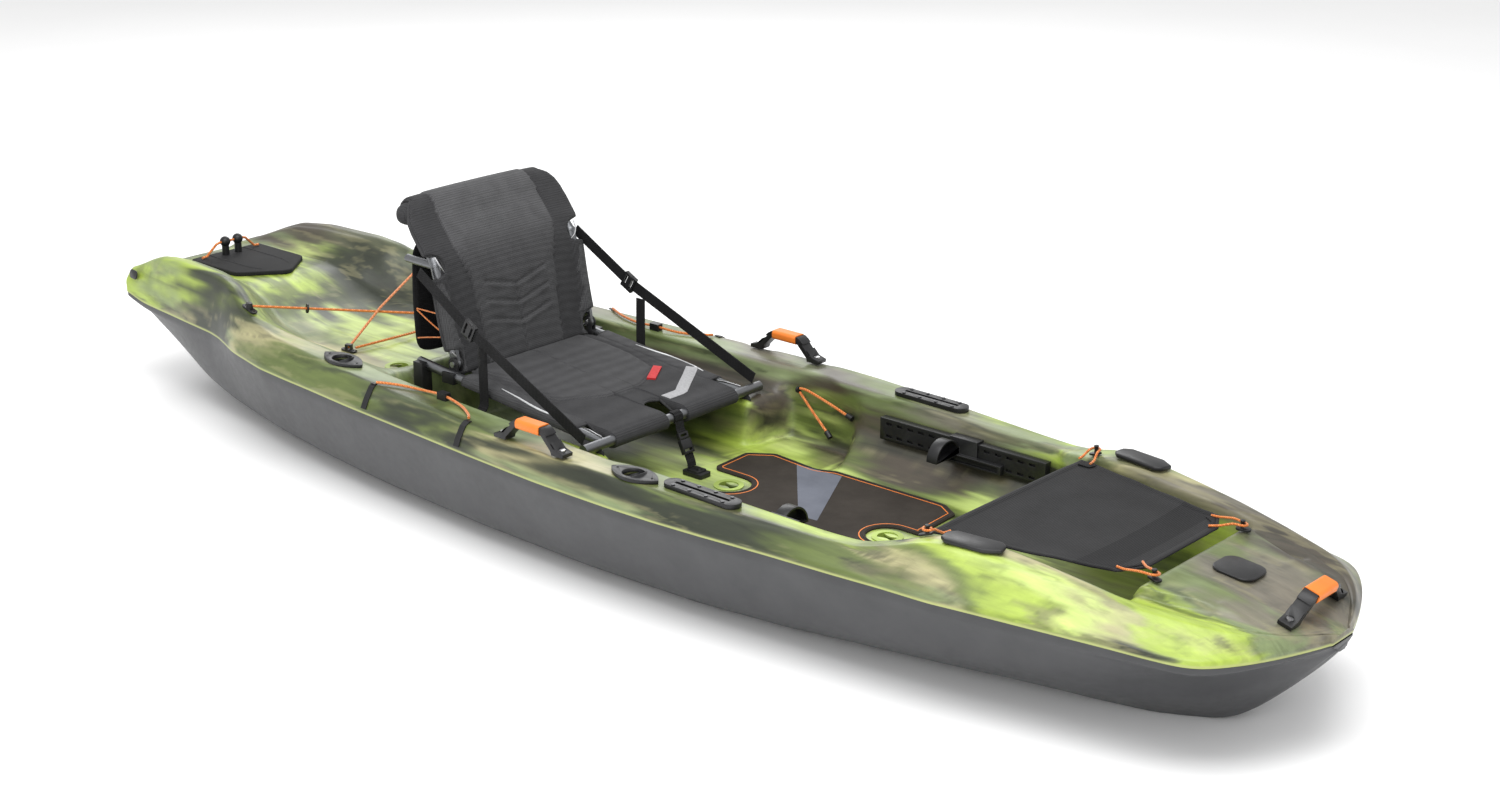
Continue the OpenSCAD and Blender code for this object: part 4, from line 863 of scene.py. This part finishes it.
def sleeve(i, y, side):
    """how far the cloth stands off to pass round the back's side tube"""
    z = BKP[i][1]
    if BKP[i][0] < -500:
        return 0.0
    f = np.interp(z, [277, 322, 340, 380, 420, 500, 525, 540], [0, 4, 11, 8.5, 6.5, 5.5, 3, 0]) if side > 0 else np.interp(z, [277, 322, 340, 500, 530, 560], [0, 6, 9, 9.5, 9, 3])
    return f * math.exp(-(max(0.0, abs(abs(y) - 203) - 5) / 8.5) ** 2)


def pad_mesh(name, C, N, half, th, crown, detail, mats, attr, T):
    """cushion on a profile: C and N are profile points and normals (x, z) in mm, half its half-width at each, th its thickness"""
    n = len(C)
    m = len(T)
    V, A = [], []
    for side in (1, -1):
        for i in range(n):
            for t in T:
                y = t * half[i]
                e = min(1.0, (half[i] - abs(y)) / 9.0)
                k = math.sqrt(max(0.0, 1 - (1 - e) ** 2))
                ends = min(1.0, min(i, n - 1 - i) / 3.0)
                k2 = math.sqrt(max(0.0, 1 - (1 - ends) ** 2))
                h = side * (th[i] / 2) * (0.16 + 0.84 * k * k2)
                if side > 0:
                    h += (crown[i] * (1 - abs(t) ** 2.6) + detail(i, y)) * k * k2
                h += side * sleeve(i, y, side) * k * k2
                V.append((C[i][0] + N[i][0] * h, y, C[i][1] + N[i][1] * h))
                A.append(attr(i, y))
    f = grid_faces(n, m) + grid_faces(n, m, flip=True, base=n * m)
    b = n * m
    for i in range(n - 1):
        f.append([i * m, b + i * m, b + (i + 1) * m, (i + 1) * m])
        f.append([i * m + m - 1, (i + 1) * m + m - 1, b + (i + 1) * m + m - 1, b + i * m + m - 1])
    for j in range(m - 1):
        f.append([j, j + 1, b + j + 1, b + j])
        q = (n - 1) * m
        f.append([q + j, b + q + j, b + q + j + 1, q + j + 1])
    o = mesh_obj(name, np.array(V) * MM, f, mats)
    # panel mask; on the seat back it also holds painted light that lightens the top
    a = o.data.attributes.new("panel", "FLOAT", "POINT")
    a.data.foreach_set("value", np.array(A, np.float32))
    return o


def normals2(C, s=1):
    d = np.gradient(C, axis=0)
    d /= np.linalg.norm(d, axis=1)[:, None] + 1e-9
    return s * np.stack([-d[:, 1], d[:, 0]], 1)


def step(x, a, b):
    t = min(1.0, max(0.0, (x - a) / (b - a)))
    return t * t * (3 - 2 * t)


# back: front surface from the crease up and over the top bar
BK = catmull([(-399, 277), (-408, 320), (-419, 370), (-430, 420), (-439, 468), (-449, 508), (-465, 542), (-487, 572), (-508, 600), (-524, 626),
              (-541, 642), (-560, 645), (-577, 636), (-585, 618), (-580, 602), (-571, 592)], 8)
BKP, BKS = arc_param(BK, 128)
BKN = normals2(BKP, -1)
if BKN[10][0] < 0:
    BKN = -BKN
BKC = BKP - BKN * 7
TT = np.sin(np.linspace(-1, 1, 81) * math.pi / 2 * 0.86) / math.sin(math.pi / 2 * 0.86)


def back_half(i):
    z, x = BKP[i][1], BKP[i][0]
    over = i > 95 and x < -545
    w = np.interp(z, [277, 300, 340, 380, 450, 540, 585, 605, 622, 636, 645], [214, 216, 221, 224, 225, 227, 227, 224, 216, 205, 190])
    if over:
        w = np.interp(z, [592, 606, 630, 645], [166, 184, 192, 190])
    if not over:
        d = (z - 514) / 27
        if abs(d) < 1:
            w -= 40 * math.sqrt(1 - d * d)
        d = (z - 306) / 31
        if abs(d) < 1:
            w -= 34 * math.sqrt(1 - d * d)
    return w


BH = np.array([back_half(i) for i in range(len(BKP))])
BSEAM = ([277, 340, 400, 470, 540, 600, 645], [112, 114, 118, 124, 148, 150, 142])
BOUT = ([277, 340, 380, 430, 480], [176, 178, 196, 190, 206])


def back_detail(i, y):
    z, over = BKP[i][1], BKP[i][0] < -545
    ay = abs(y)
    ys = np.interp(z, *BSEAM) if not over else 142
    h = -2.6 * bumpf(ay, ys, 2.6) + (2.2 if ay < ys else 0)
    if not over:
        if z < 480:
            yo = np.interp(z, *BOUT)
            h += -2.0 * bumpf(ay, yo, 2.6) + (2.5 if ay > yo else 0) * step(480 - z, 0, 20)
        for c in (356, 397, 438):
            if ay < 98:
                lift = z - ay * 0.24
                h += (-4.2 * bumpf(lift, c, 2.6) + 2.6 * bumpf(lift, c - 9, 4.5)) * step(98 - ay, 0, 10)
        if z < 438:
            h += -2.8 * bumpf(y, 0, 2.2)
        h += 1.2 * math.sin(z / 23.0) * math.cos(y / 61.0) * 0.4
    return h


def back_panel_and_lit_top(i, y):
    z, over = BKP[i][1], BKP[i][0] < -545
    ay = abs(y)
    ys = np.interp(z, *BSEAM) if not over else 142
    if ay < ys:
        # centre panel cloth, plus painted light: the top of the back is made lighter as if lit from above
        return 0.42 + 0.5 * step(z, 500, 590)
    if not over and z < 480 and ay > np.interp(z, *BOUT):
        return 0.55
    return 0.0


back = pad_mesh("seat_back_cushion", BKC, BKN, BH, np.full(len(BKP), 14.0), np.interp(BKP[:, 1], [277, 400, 500, 645], [3, 5, 4, 3]), back_detail, M["seat"], back_panel_and_lit_top, TT)

# pan: from the crease forward, over the front tube and under its lip, and round the side tubes
PN = catmull([(-390, 287), (-350, 285.5), (-330, 284.5), (-290, 281), (-240, 275), (-180, 268), (-100, 261), (-40, 257.5), (10, 255), (36, 254), (52, 249.5), (62, 239), (62, 228), (54, 219), (42, 216)], 8)
PNP, PNS = arc_param(PN, 120)
LEN = PNS[-1]
YT, RW = 214.0, 14.2


def rail_z(x):
    return 290 + (x + 512) * (236 - 290) / 560


def pan_end(u):
    """how far along the profile the cloth reaches at this distance from the centreline"""
    x_end = None
    if abs(u) < 30:
        x_end = -2 - math.sqrt(max(0.0, 30 ** 2 - u * u))
    d = (abs(u) - 214) / 27
    if abs(d) < 1:
        x_end = 4 - 27 * math.sqrt(1 - d * d)
    if x_end is None:
        return LEN
    return float(np.interp(x_end, PNP[:90, 0], PNS[:90]))


def pan_start(u):
    x = -390 + 26 * step(abs(u), 172, 184)
    return float(np.interp(x, PNP[:90, 0], PNS[:90]))


PY = np.unique(np.round(np.concatenate([np.linspace(-241, 241, 121), np.linspace(-33, 33, 34), np.linspace(184, 241, 40), -np.linspace(184, 241, 40)]), 1))


def pan_surf(s, u):
    """point and normal on the cloth's outer face, arc length s along it and u across it; past the rail u runs round the rail"""
    x, z = float(np.interp(s, PNS, PNP[:, 0])), float(np.interp(s, PNS, PNP[:, 1]))
    k = min(len(PNS) - 2, max(1, int(np.searchsorted(PNS, s))))
    d = PNP[k + 1] - PNP[k - 1]
    d = d / np.linalg.norm(d)
    nx, nz = -d[1], d[0]
    ay = abs(u)
    sg = 1 if u >= 0 else -1
    h = 0.0
    hw = np.interp(x, [-390, -240, -150, -98, -94], [164, 164, 148, 52, 0])
    inside = x < -94 and ay < hw
    edge = abs(ay - hw) * 0.8 if x < -94 else 99
    edge = min(edge, abs(x + 95) if ay < 52 else 99)
    h += -3.0 * math.exp(-(edge / 2.6) ** 2) + (4.5 * min(1, edge / 12) if inside else 0)
    h += -2.2 * math.exp(-(u / 2.2) ** 2) * step(-x, 200, 240)
    h += 0.7 * math.sin(x / 31.0) * math.cos(u / 43.0)
    h -= 1.6 * math.exp(-((ay - 183) / 3.0) ** 2) * step(-x, 20, 60)
    side = step(ay, 168, 204)
    flat = step(x, 20, 44)
    top = rail_z(x) + RW
    z2 = z + (top - z) * side * (1 - flat)
    if ay <= YT:
        y, n = u, np.array([nx, 0, nz])
    else:
        a = min((ay - YT) / RW, 1.9)
        y = sg * (YT + RW * math.sin(a))
        z2 -= RW * (1 - math.cos(a))
        n = np.array([nx * math.cos(a), sg * math.sin(a), nz * math.cos(a)])
    n /= np.linalg.norm(n)
    return np.array([x, y, z2]) + n * h, n, inside, side * step(-x, 10, 60)


def build_pan():
    n, ys = 110, PY
    V, A, B = [], [], []
    for u in ys:
        end, start = pan_end(u), pan_start(u)
        for i in range(n):
            s = start + (end - start) * i / (n - 1)
            p, nn, inside, sh = pan_surf(s, u)
            e = min(1.0, (241 - abs(u)) / 5, i / 3, (n - 1 - i) / 3)
            k = 0.2 + 0.8 * math.sqrt(max(0.0, 1 - (1 - max(0, e)) ** 2))
            t = 5.5 - 4.2 * max(step(abs(u), 190, 203), step(p[0], 22, 38)) - 2.8 * math.exp(-((p[0] + 330) / 16) ** 4)
            t = max(t, 1.3)
            V.append(p - nn * t * (1 - k))
            B.append(p - nn * t * (1 + k))
            A.append(0.4 if inside else 0.42 * sh)
    m = n
    f = grid_faces(len(ys), m) + grid_faces(len(ys), m, flip=True, base=len(V))
    b = len(V)
    N = len(ys)
    for i in range(N - 1):
        f.append([i * m, b + i * m, b + (i + 1) * m, (i + 1) * m])
        f.append([i * m + m - 1, (i + 1) * m + m - 1, b + (i + 1) * m + m - 1, b + i * m + m - 1])
    for j in range(m - 1):
        f.append([j, j + 1, b + j + 1, b + j])
        q = (N - 1) * m
        f.append([q + j, b + q + j, b + q + j + 1, q + j + 1])
    o = mesh_obj("seat_pan_cushion", np.array(V + B) * MM, f, M["seat"])
    a = o.data.attributes.new("panel", "FLOAT", "POINT")
    a.data.foreach_set("value", np.array(A + A, np.float32))
    return o


pan = build_pan()
put(pan, "hull", "seat_pan_pad", slot="seat_fabric")
put(back, "seat_back", "seat_back_pad", slot="seat_fabric")


def roll_end(name, c, r):
    """rounded end of the rolled top, where the cloth closes round the bar"""
    n, m = 28, 40
    V = []
    for i in range(n + 1):
        a = math.pi * i / n
        for j in range(m):
            b = 2 * math.pi * j / m
            q = (math.sin(a) * math.cos(b), -math.cos(a), math.sin(a) * math.sin(b))
            k = (abs(q[0]) ** 2.5 + abs(q[1]) ** 2.5 + abs(q[2]) ** 2.5) ** (-1 / 2.5)
            V.append([c[t] + r[t] * q[t] * k for t in range(3)])
    o = mesh_obj(name, np.array(V) * MM, grid_faces(n + 1, m, close_v=True), M["seat"])
    bm = bmesh.new()
    bm.from_mesh(o.data)
    bmesh.ops.remove_doubles(bm, verts=bm.verts, dist=1e-6)
    bmesh.ops.recalc_face_normals(bm, faces=bm.faces)
    bm.to_mesh(o.data)
    bm.free()
    return put(o, "seat_back", slot="seat_fabric")


for s, n in ((-1, "starboard"), (1, "port")):
    roll_end("back_roll_end_" + n, (-549, s * 182, 611), (27, 40, 25))


def s_of_x(x):
    return float(np.interp(x, PNP[:92, 0], PNS[:92]))


def strip(name, pts, width, lift, mat, body, surf, taper=False, seg=8):
    """thin sewn strip that follows a surface; pts are surface coordinates"""
    Q = catmull(np.array(pts, float), seg) if len(pts) > 2 else np.array([np.array(pts[0]) + (np.array(pts[1]) - np.array(pts[0])) * k / 12 for k in range(13)], float)
    P = np.array([surf(*q)[0] for q in Q])
    NN = np.array([surf(*q)[1] for q in Q])
    T = np.gradient(P, axis=0)
    T /= np.linalg.norm(T, axis=1)[:, None] + 1e-9
    S = np.cross(NN, T)
    S /= np.linalg.norm(S, axis=1)[:, None] + 1e-9
    c = len(P)
    V = []
    for i in range(c):
        w = width / 2 * (math.sin(math.pi * (0.04 + 0.92 * i / (c - 1))) ** 0.6 if taper else 1)
        a, b = P[i] + S[i] * w, P[i] - S[i] * w
        V += [a - NN[i] * 0.8, a + NN[i] * lift, b + NN[i] * lift, b - NN[i] * 0.8]
    f = []
    for i in range(c - 1):
        for k in range(4):
            f.append([i * 4 + k, i * 4 + (k + 1) % 4, (i + 1) * 4 + (k + 1) % 4, (i + 1) * 4 + k])
    f += [[0, 1, 2, 3], [(c - 1) * 4 + k for k in (3, 2, 1, 0)]]
    o = mesh_obj(name, np.array(V) * MM, f, mat, True, 40)
    return put(o, body, slot="seat_fabric")


def on_pan(x, u):
    p, nn, _, _ = pan_surf(s_of_x(x), u)
    return p, nn


def on_back(z, y):
    i = int(np.argmin(np.abs(BKP[:92, 1] - z)))
    t = y / BH[i]
    h = 7 + np.interp(z, [277, 400, 500, 645], [3, 5, 4, 3]) * (1 - abs(t) ** 2.6) + back_detail(i, y)
    p = BKC[i] + BKN[i] * h
    return np.array([p[0], y, p[1]]), np.array([BKN[i][0], 0, BKN[i][1]])


strip("seat_stripe", [(-93, 208), (-30, 111), (20, 38)], 27, 0.9, M["stripe"], "hull", on_pan)
strip("seat_tag", [(-106, 90), (-147, 154)], 19, 4.0, M["red"], "hull", on_pan)
for s, n in ((-1, "starboard"), (1, "port")):
    strip("pan_piping_" + n, [(-262, s * 205), (-210, s * 210), (-160, s * 217), (-110, s * 218), (-62, s * 210)], 5, 0.9, M["reflect"], "hull", on_pan, True)
    strip("back_piping_" + n, [(472, s * 205), (440, s * 195), (408, s * 191), (380, s * 197), (352, s * 186)], 5, 1.0, M["reflect"], "seat_back", on_back, True)


def edge_tube(name, pts, r, mat, body):
    o = tube(name, np.array(pts) * MM, r * MM, mat, 8, close=False)
    return put(o, body, slot="seat_fabric")


# sewn binding round the cut-outs and edges
for s, n in ((-1, "starboard"), (1, "port")):
    P = [(BKC[i][0], s * (BH[i] + 0.3), BKC[i][1]) for i in range(0, len(BKP))]
    edge_tube("back_binding_" + n, P, 3.4, M["bind"], "seat_back")
P = []
for u in PY:
    p, nn, _, _ = pan_surf(pan_end(u) - 1.0, u)
    P.append(p - nn * (2.2 if abs(u) > 190 or abs(u) > 30 else 5.5))
edge_tube("pan_binding_front", P, 2.8, M["bind"], "hull")
P = []
for u in PY:
    p, nn, _, _ = pan_surf(pan_start(u) + 1.0, u)
    P.append(p - nn * (2.2 if abs(u) > 190 else 5.0))
edge_tube("pan_binding_rear", P, 2.8, M["bind"], "hull")
for s, n in ((-1, "starboard"), (1, "port")):
    P = []
    for q in np.linspace(pan_start(240), pan_end(240) - 1, 60):
        p, nn, _, _ = pan_surf(q, s * 240.5)
        P.append(p - nn * 1.3)
    edge_tube("pan_binding_" + n, P, 2.4, M["bind"], "hull")


# thin steel hooks across the cut-outs
def wire(name, pts, body, r=1.7):
    o = tube(name, catmull(np.array(pts, float), 6) * MM, r * MM, M["steel"], 8)
    return put(o, body, slot="steel")


for s, n in ((-1, "starboard"), (1, "port")):
    wire("pan_hook_" + n, [(-18, s * 206, 250), (2, s * 208, 252), (26, s * 212, 250), (44, s * 214, 248.5)], "hull")
    wire("back_hook_low_" + n, [(-412, s * 188, 300), (-404, s * 196, 312), (-402, s * 205, 322), (-408, s * 212, 332)], "seat_back")
    wire("back_hook_high_" + n, [(-447, s * 190, 496), (-444, s * 198, 506), (-447, s * 205, 520), (-456, s * 208, 534)], "seat_back")


# rear panel: rounded board covered in cloth, with a lacing of thin cord
def rear_panel():
    n, m = 60, 48
    V = []
    for side in (1, -1):
        for i in range(n + 1):
            for j in range(m + 1):
                u, v = -1 + 2 * i / n, -1 + 2 * j / m
                # squircle map to a rounded rectangle
                k = 8
                r = (abs(u) ** k + abs(v) ** k) ** (1 / k) or 1
                mx = max(abs(u), abs(v)) or 1
                f = mx / r
                y, z = 194 * u * f, 131 * v * f + 422
                e = (1 - mx)
                t = 7 * min(1.0, math.sqrt(max(0.0, 1 - (1 - min(1, e * 14)) ** 2)) + 0.15)
                V.append((-548 - side * t - (1.5 * math.sin(y / 40) * math.sin(z / 30) if side > 0 else 0), y, z))
    b = (n + 1) * (m + 1)
    f = grid_faces(n + 1, m + 1) + grid_faces(n + 1, m + 1, flip=True, base=b)
    M1 = m + 1
    for i in range(n):
        f.append([i * M1, b + i * M1, b + (i + 1) * M1, (i + 1) * M1])
        f.append([i * M1 + m, (i + 1) * M1 + m, b + (i + 1) * M1 + m, b + i * M1 + m])
    for j in range(m):
        f.append([j, j + 1, b + j + 1, b + j])
        q = n * M1
        f.append([q + j, b + q + j, b + q + j + 1, q + j + 1])
    return mesh_obj("seat_rear_board", np.array(V) * MM, f, M["panel"])


put(rear_panel(), "seat_back", "seat_rear_panel", slot="seat_fabric")

for s, n in ((-1, "starboard"), (1, "port")):
    for k, (za, zb) in enumerate(((398, 404), (396, 366), (330, 352))):
        P = [(-546, s * 189, za), (-505, s * 194, (za + zb) / 2), (-458, s * 199, zb)]
        o = tube("panel_lacing_%s_%d" % (n, k + 1), catmull(np.array(P, float), 5) * MM, 1.6 * MM, M["cord"], 8)
        put(o, "seat_back", slot="orange_cord")

# ------------------------------------------------------------------ floor mat
MZ = 120.6
MAT = [(112, 60), (106, 160), (160, 200), (284, 187), (326, 205), (612, 205), (656, 177), (664, 70), (640, -20), (664, -70), (656, -177), (612, -205),
       (326, -205), (284, -187), (160, -200), (106, -160), (112, -60), (150, -40), (150, 40)]


def mat_outline():
    """mat outline in mm with U notches round both scuppers"""
    P = [(112, 60), (106, 160), (160, 200), (284, 187), (326, 205), (612, 205), (656, 177), (665, 44)]
    P += [(621 + 44 * math.cos(a), 44 * math.sin(a)) for a in np.linspace(math.pi / 2, 3 * math.pi / 2, 15)]
    P += [(665, -44), (656, -177), (612, -205), (326, -205), (284, -187), (160, -200), (106, -160), (112, -60), (125, -48)]
    P += [(201 + 48 * math.cos(a), 48 * math.sin(a)) for a in np.linspace(-math.pi / 2, math.pi / 2, 15)]
    P += [(125, 48)]
    return P


mo = mat_outline()
mat = slab("floor_mat_brushed", mo, MZ, MZ + 4.6, M["mat"], 1.4, r=6)
put(mat, "hull", "floor_mat", slot="mat_foam")
inner = offset_poly(np.array(rounded(mo, 10))[::1], 0)
ar = sum(inner[i - 1][0] * inner[i][1] - inner[i][0] * inner[i - 1][1] for i in range(len(inner)))
if ar < 0:
    inner = inner[::-1]


def ring(name, d, w, z0, z1, mat_):
    A_, B_ = offset_poly(inner, d), offset_poly(inner, d + w)
    n = len(A_)
    V = [(p[0], p[1], z0) for p in A_] + [(p[0], p[1], z1) for p in A_] + [(p[0], p[1], z1) for p in B_] + [(p[0], p[1], z0) for p in B_]
    f = []
    for k in range(4):
        for j in range(n):
            a, b = k * n + j, k * n + (j + 1) % n
            c, d_ = ((k + 1) % 4) * n + (j + 1) % n, ((k + 1) % 4) * n + j
            f.append([a, b, c, d_])
    return put(mesh_obj(name, np.array(V) * MM, f, mat_, True, 40), "hull", slot="mat_foam")


ring("mat_rim", 2.5, 4.0, MZ + 4.2, MZ + 5.6, M["mat"])
M["inlay"] = plastic("mat_inlay_orange", (0.75, 0.20, 0.03), 0.6, 0.15)
ring("mat_inlay", 12, 2.2, MZ + 4.3, MZ + 5.0, M["inlay"])
band = slab("mat_band", [(236, 178), (352, 188), (470, -36), (424, -40)], MZ + 4.2, MZ + 4.95, M["matband"], 0.3, r=3)
put(band, "hull", slot="mat_foam")

# ------------------------------------------------------------------ front cover: coated cloth on its loops
def cover_half(x):
    return np.interp(x, [904, 1255, 1284], [246, 172, 120])


def front_cover():
    n, m = 76, 72
    V, A = [], []
    for side in (1, 0):
        for i in range(n):
            x = 904 + (1284 - 904) * i / (n - 1)
            w = cover_half(x)
            for j in range(m):
                t = -1 + 2 * j / (m - 1)
                y = t * w
                # edge distance for the rolled hem
                e = min((w - abs(y)) * 0.97, (x - 904), (1284 - x))
                hem = 1.6 * math.exp(-((e - 7) / 5.5) ** 2)
                z = 285 + 11.6 - x * math.sin(math.radians(0.55))
                sag = -7.5 * (1 - abs(t) ** 2) * math.sin(math.pi * (x - 904) / 380) ** 0.8
                dimple = -0.8 * math.exp(-((e - 14) / 2.0) ** 2)
                corner = -2.5 * math.exp(-((x - 904) / 40) ** 2) * math.exp(-((w - abs(y)) / 60) ** 2)
                wr = 0.7 * math.sin(x / 17 + 3 * t) * math.exp(-((w - abs(y)) / 40) ** 2)
                top = z + sag + hem + dimple + corner + wr - 0.4
                V.append((x, y, top if side else top - 2.0 - hem * 0.5))
    b = n * m
    f = grid_faces(n, m) + grid_faces(n, m, flip=True, base=b)
    for i in range(n - 1):
        f.append([i * m, b + i * m, b + (i + 1) * m, (i + 1) * m])
        f.append([i * m + m - 1, (i + 1) * m + m - 1, b + (i + 1) * m + m - 1, b + i * m + m - 1])
    for j in range(m - 1):
        f.append([j, j + 1, b + j + 1, b + j])
        q = (n - 1) * m
        f.append([q + j, b + q + j, b + q + j + 1, q + j + 1])
    o = mesh_obj("front_cover_cloth", np.array(V) * MM, f, [M["cover"], M["coverband"]])
    for p in o.data.polygons:
        c = p.center / MM
        if 1172 + 0.0 * c.y < c.x < 1246:
            p.material_index = 1
    return o


cover = front_cover()
put(cover, "cover", "front_cover", slot="cover_fabric")
# corner tabs that hold the loops
for s, n in ((-1, "starboard"), (1, "port")):
    zz = lambda x: 285 + 11.6 - x * math.sin(math.radians(0.55))
    P = [(914, s * 214), (944, s * 212), (950, s * 232), (926, s * 242)]
    t = slab("cover_tab_aft_" + n, P, zz(925) - 1.5, zz(925) + 1.6, M["coverband"], 0.8, r=5)
    put(t, "cover", slot="cover_fabric")
    P = [(1238, s * 150), (1262, s * 132), (1268, s * 108), (1276, s * 118), (1252, s * 164)]
    t = slab("cover_tab_fore_" + n, P, zz(1258) - 1.5, zz(1258) + 1.6, M["coverband"], 0.8, r=4)
    put(t, "cover", slot="cover_fabric")

# ------------------------------------------------------------------ stern cover: padded board with a seam and a rolled edge
def stern_cover():
    P = [(-1494, -104), (-1494, 104), (-1312, 104), (-1238, 10), (-1238, -10), (-1312, -104)]
    o = slab("stern_cover_board", P, 303.2, 312.2, M["cover"], 4.0, r=14, rings=5)
    return o


put(stern_cover(), "stern_lid", "stern_cover", slot="black_plastic")

for s in (-1, 1):
    P = [(-1488, s * 52, 312.1), (-1440, s * 52, 312.3), (-1330, s * 50, 312.3), (-1290, s * 40, 312.1)]
    o = tube("stern_cover_seam_" + ("port" if s > 0 else "starboard"), catmull(P, 6) * MM, 1.3 * MM, M["bind"], 8)
    put(o, "stern_lid", slot="black_plastic")

# ------------------------------------------------------------------ moulded fittings with rounded edges
for n in ("handle_body_starboard", "handle_body_port", "handle_body_bow"):
    soft_edges(n, 2.2, M["black"], "black_plastic", 3)
for n in ("handle_grip_starboard", "handle_grip_port", "handle_grip_bow"):
    soft_edges(n, 1.6, M["orange"], "orange_grip", 3)
for n, w in (("deck_pad_starboard", 3.0), ("deck_pad_port", 3.0), ("bow_plate", 1.8), ("stern_plates", 1.4), ("gear_track_starboard", 1.2), ("gear_track_port", 1.2),
             ("rod_holder_front", 1.5), ("rod_holder_aft_starboard", 1.5), ("rod_holder_aft_port", 1.5), ("side_rail_starboard", 1.0), ("side_rail_port", 1.0),
             ("sliding_holder_starboard", 1.2), ("sliding_holder_port", 1.2), ("buckle_body", 1.0), ("buckle_tongue", 0.8), ("hold_down_plate", 1.6),
             ("seat_saddles", 1.8), ("hinge_brackets", 1.0), ("cover_hooks_aft", 0.8), ("cover_hooks_fore", 0.8), ("tank_cord_anchors", 0.8)):
    soft_edges(n, w, M["black"], "black_plastic", 2)

# ------------------------------------------------------------------ webbing and loops that cross a joint
def supple(node, mat, longest=14):
    """the CAD node's shape, with its long edges cut finer"""
    me = nodes[node].data.copy()
    o = bpy.data.objects.new(node + "_supple", me)
    bpy.context.scene.collection.objects.link(o)
    bm = bmesh.new()
    bm.from_mesh(me)
    bmesh.ops.remove_doubles(bm, verts=bm.verts, dist=1e-5)
    for _ in range(4):
        es = [e for e in bm.edges if e.calc_length() > longest * MM]
        if not es:
            break
        bmesh.ops.subdivide_edges(bm, edges=es, cuts=1)
        bmesh.ops.triangulate(bm, faces=[f for f in bm.faces if len(f.verts) > 4])
    bm.to_mesh(me)
    bm.free()
    me.materials.clear()
    me.materials.append(mat)
    me.polygons.foreach_set("material_index", [0] * len(me.polygons))
    sharp(o, 35)
    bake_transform(o)
    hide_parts(node)
    return o


for n in ("side_strap_starboard", "side_strap_port"):
    supple(n, M["web"])
supple("ladder_locks", M["black"])
supple("drop_straps", M["web"])
supple("cover_loops_fore", M["cord"], 5)

# ------------------------------------------------------------------ CAD pieces that keep their shape
KEEP = {
    "orange": ["handle_grip_starboard", "handle_grip_port", "handle_grip_bow"],
    "cord": ["cover_loops_aft", "cover_loops_fore", "tank_cord", "stern_tie_cord", "paddle_cord_starboard", "paddle_cord_port", "rod_tip_cords"],
    "steel": ["handle_screws", "hinge_bolts"],
    "dark_steel": ["gear_track_screws"],
    "alu": ["seat_base_frame", "seat_back_frame"],
    "web": ["side_strap_starboard", "side_strap_port", "drop_straps", "hold_down_strap"],
    "foam": ["foam_blocks"],
    "deck2": ["scupper_tubes"],
}
M["deck2"] = plastic("scupper_moulded", (0.30, 0.40, 0.07), 0.45, 0.3)
BY_NODE = {n: k for k, ns in KEEP.items() for n in ns}
for name, o in nodes.items():
    mat = M[BY_NODE.get(name, "black")]
    o.data.materials.clear()
    o.data.materials.append(mat)
    o.data.polygons.foreach_set("material_index", [0] * len(o.data.polygons))
    if not o.hide_render:
        sharp(o, 35)

# ------------------------------------------------------------------ floor
me = bpy.data.meshes.new("floor")
me.from_pydata([(-30, -30, 0), (30, -30, 0), (30, 30, 0), (-30, 30, 0)], [], [[0, 1, 2, 3]])
floor = bpy.data.objects.new("floor", me)
bpy.context.scene.collection.objects.link(floor)
fm, fb = new_mat("floor_paper", (0.97, 0.97, 0.97), 0.9, spec=0.1)
link(fm, ramp(fm, noise(fm, coords(fm), 1.5, 2), [(0.3, (0.965, 0.965, 0.965)), (0.7, (0.98, 0.98, 0.98))]), fb.inputs["Base Color"])
me.materials.append(fm)
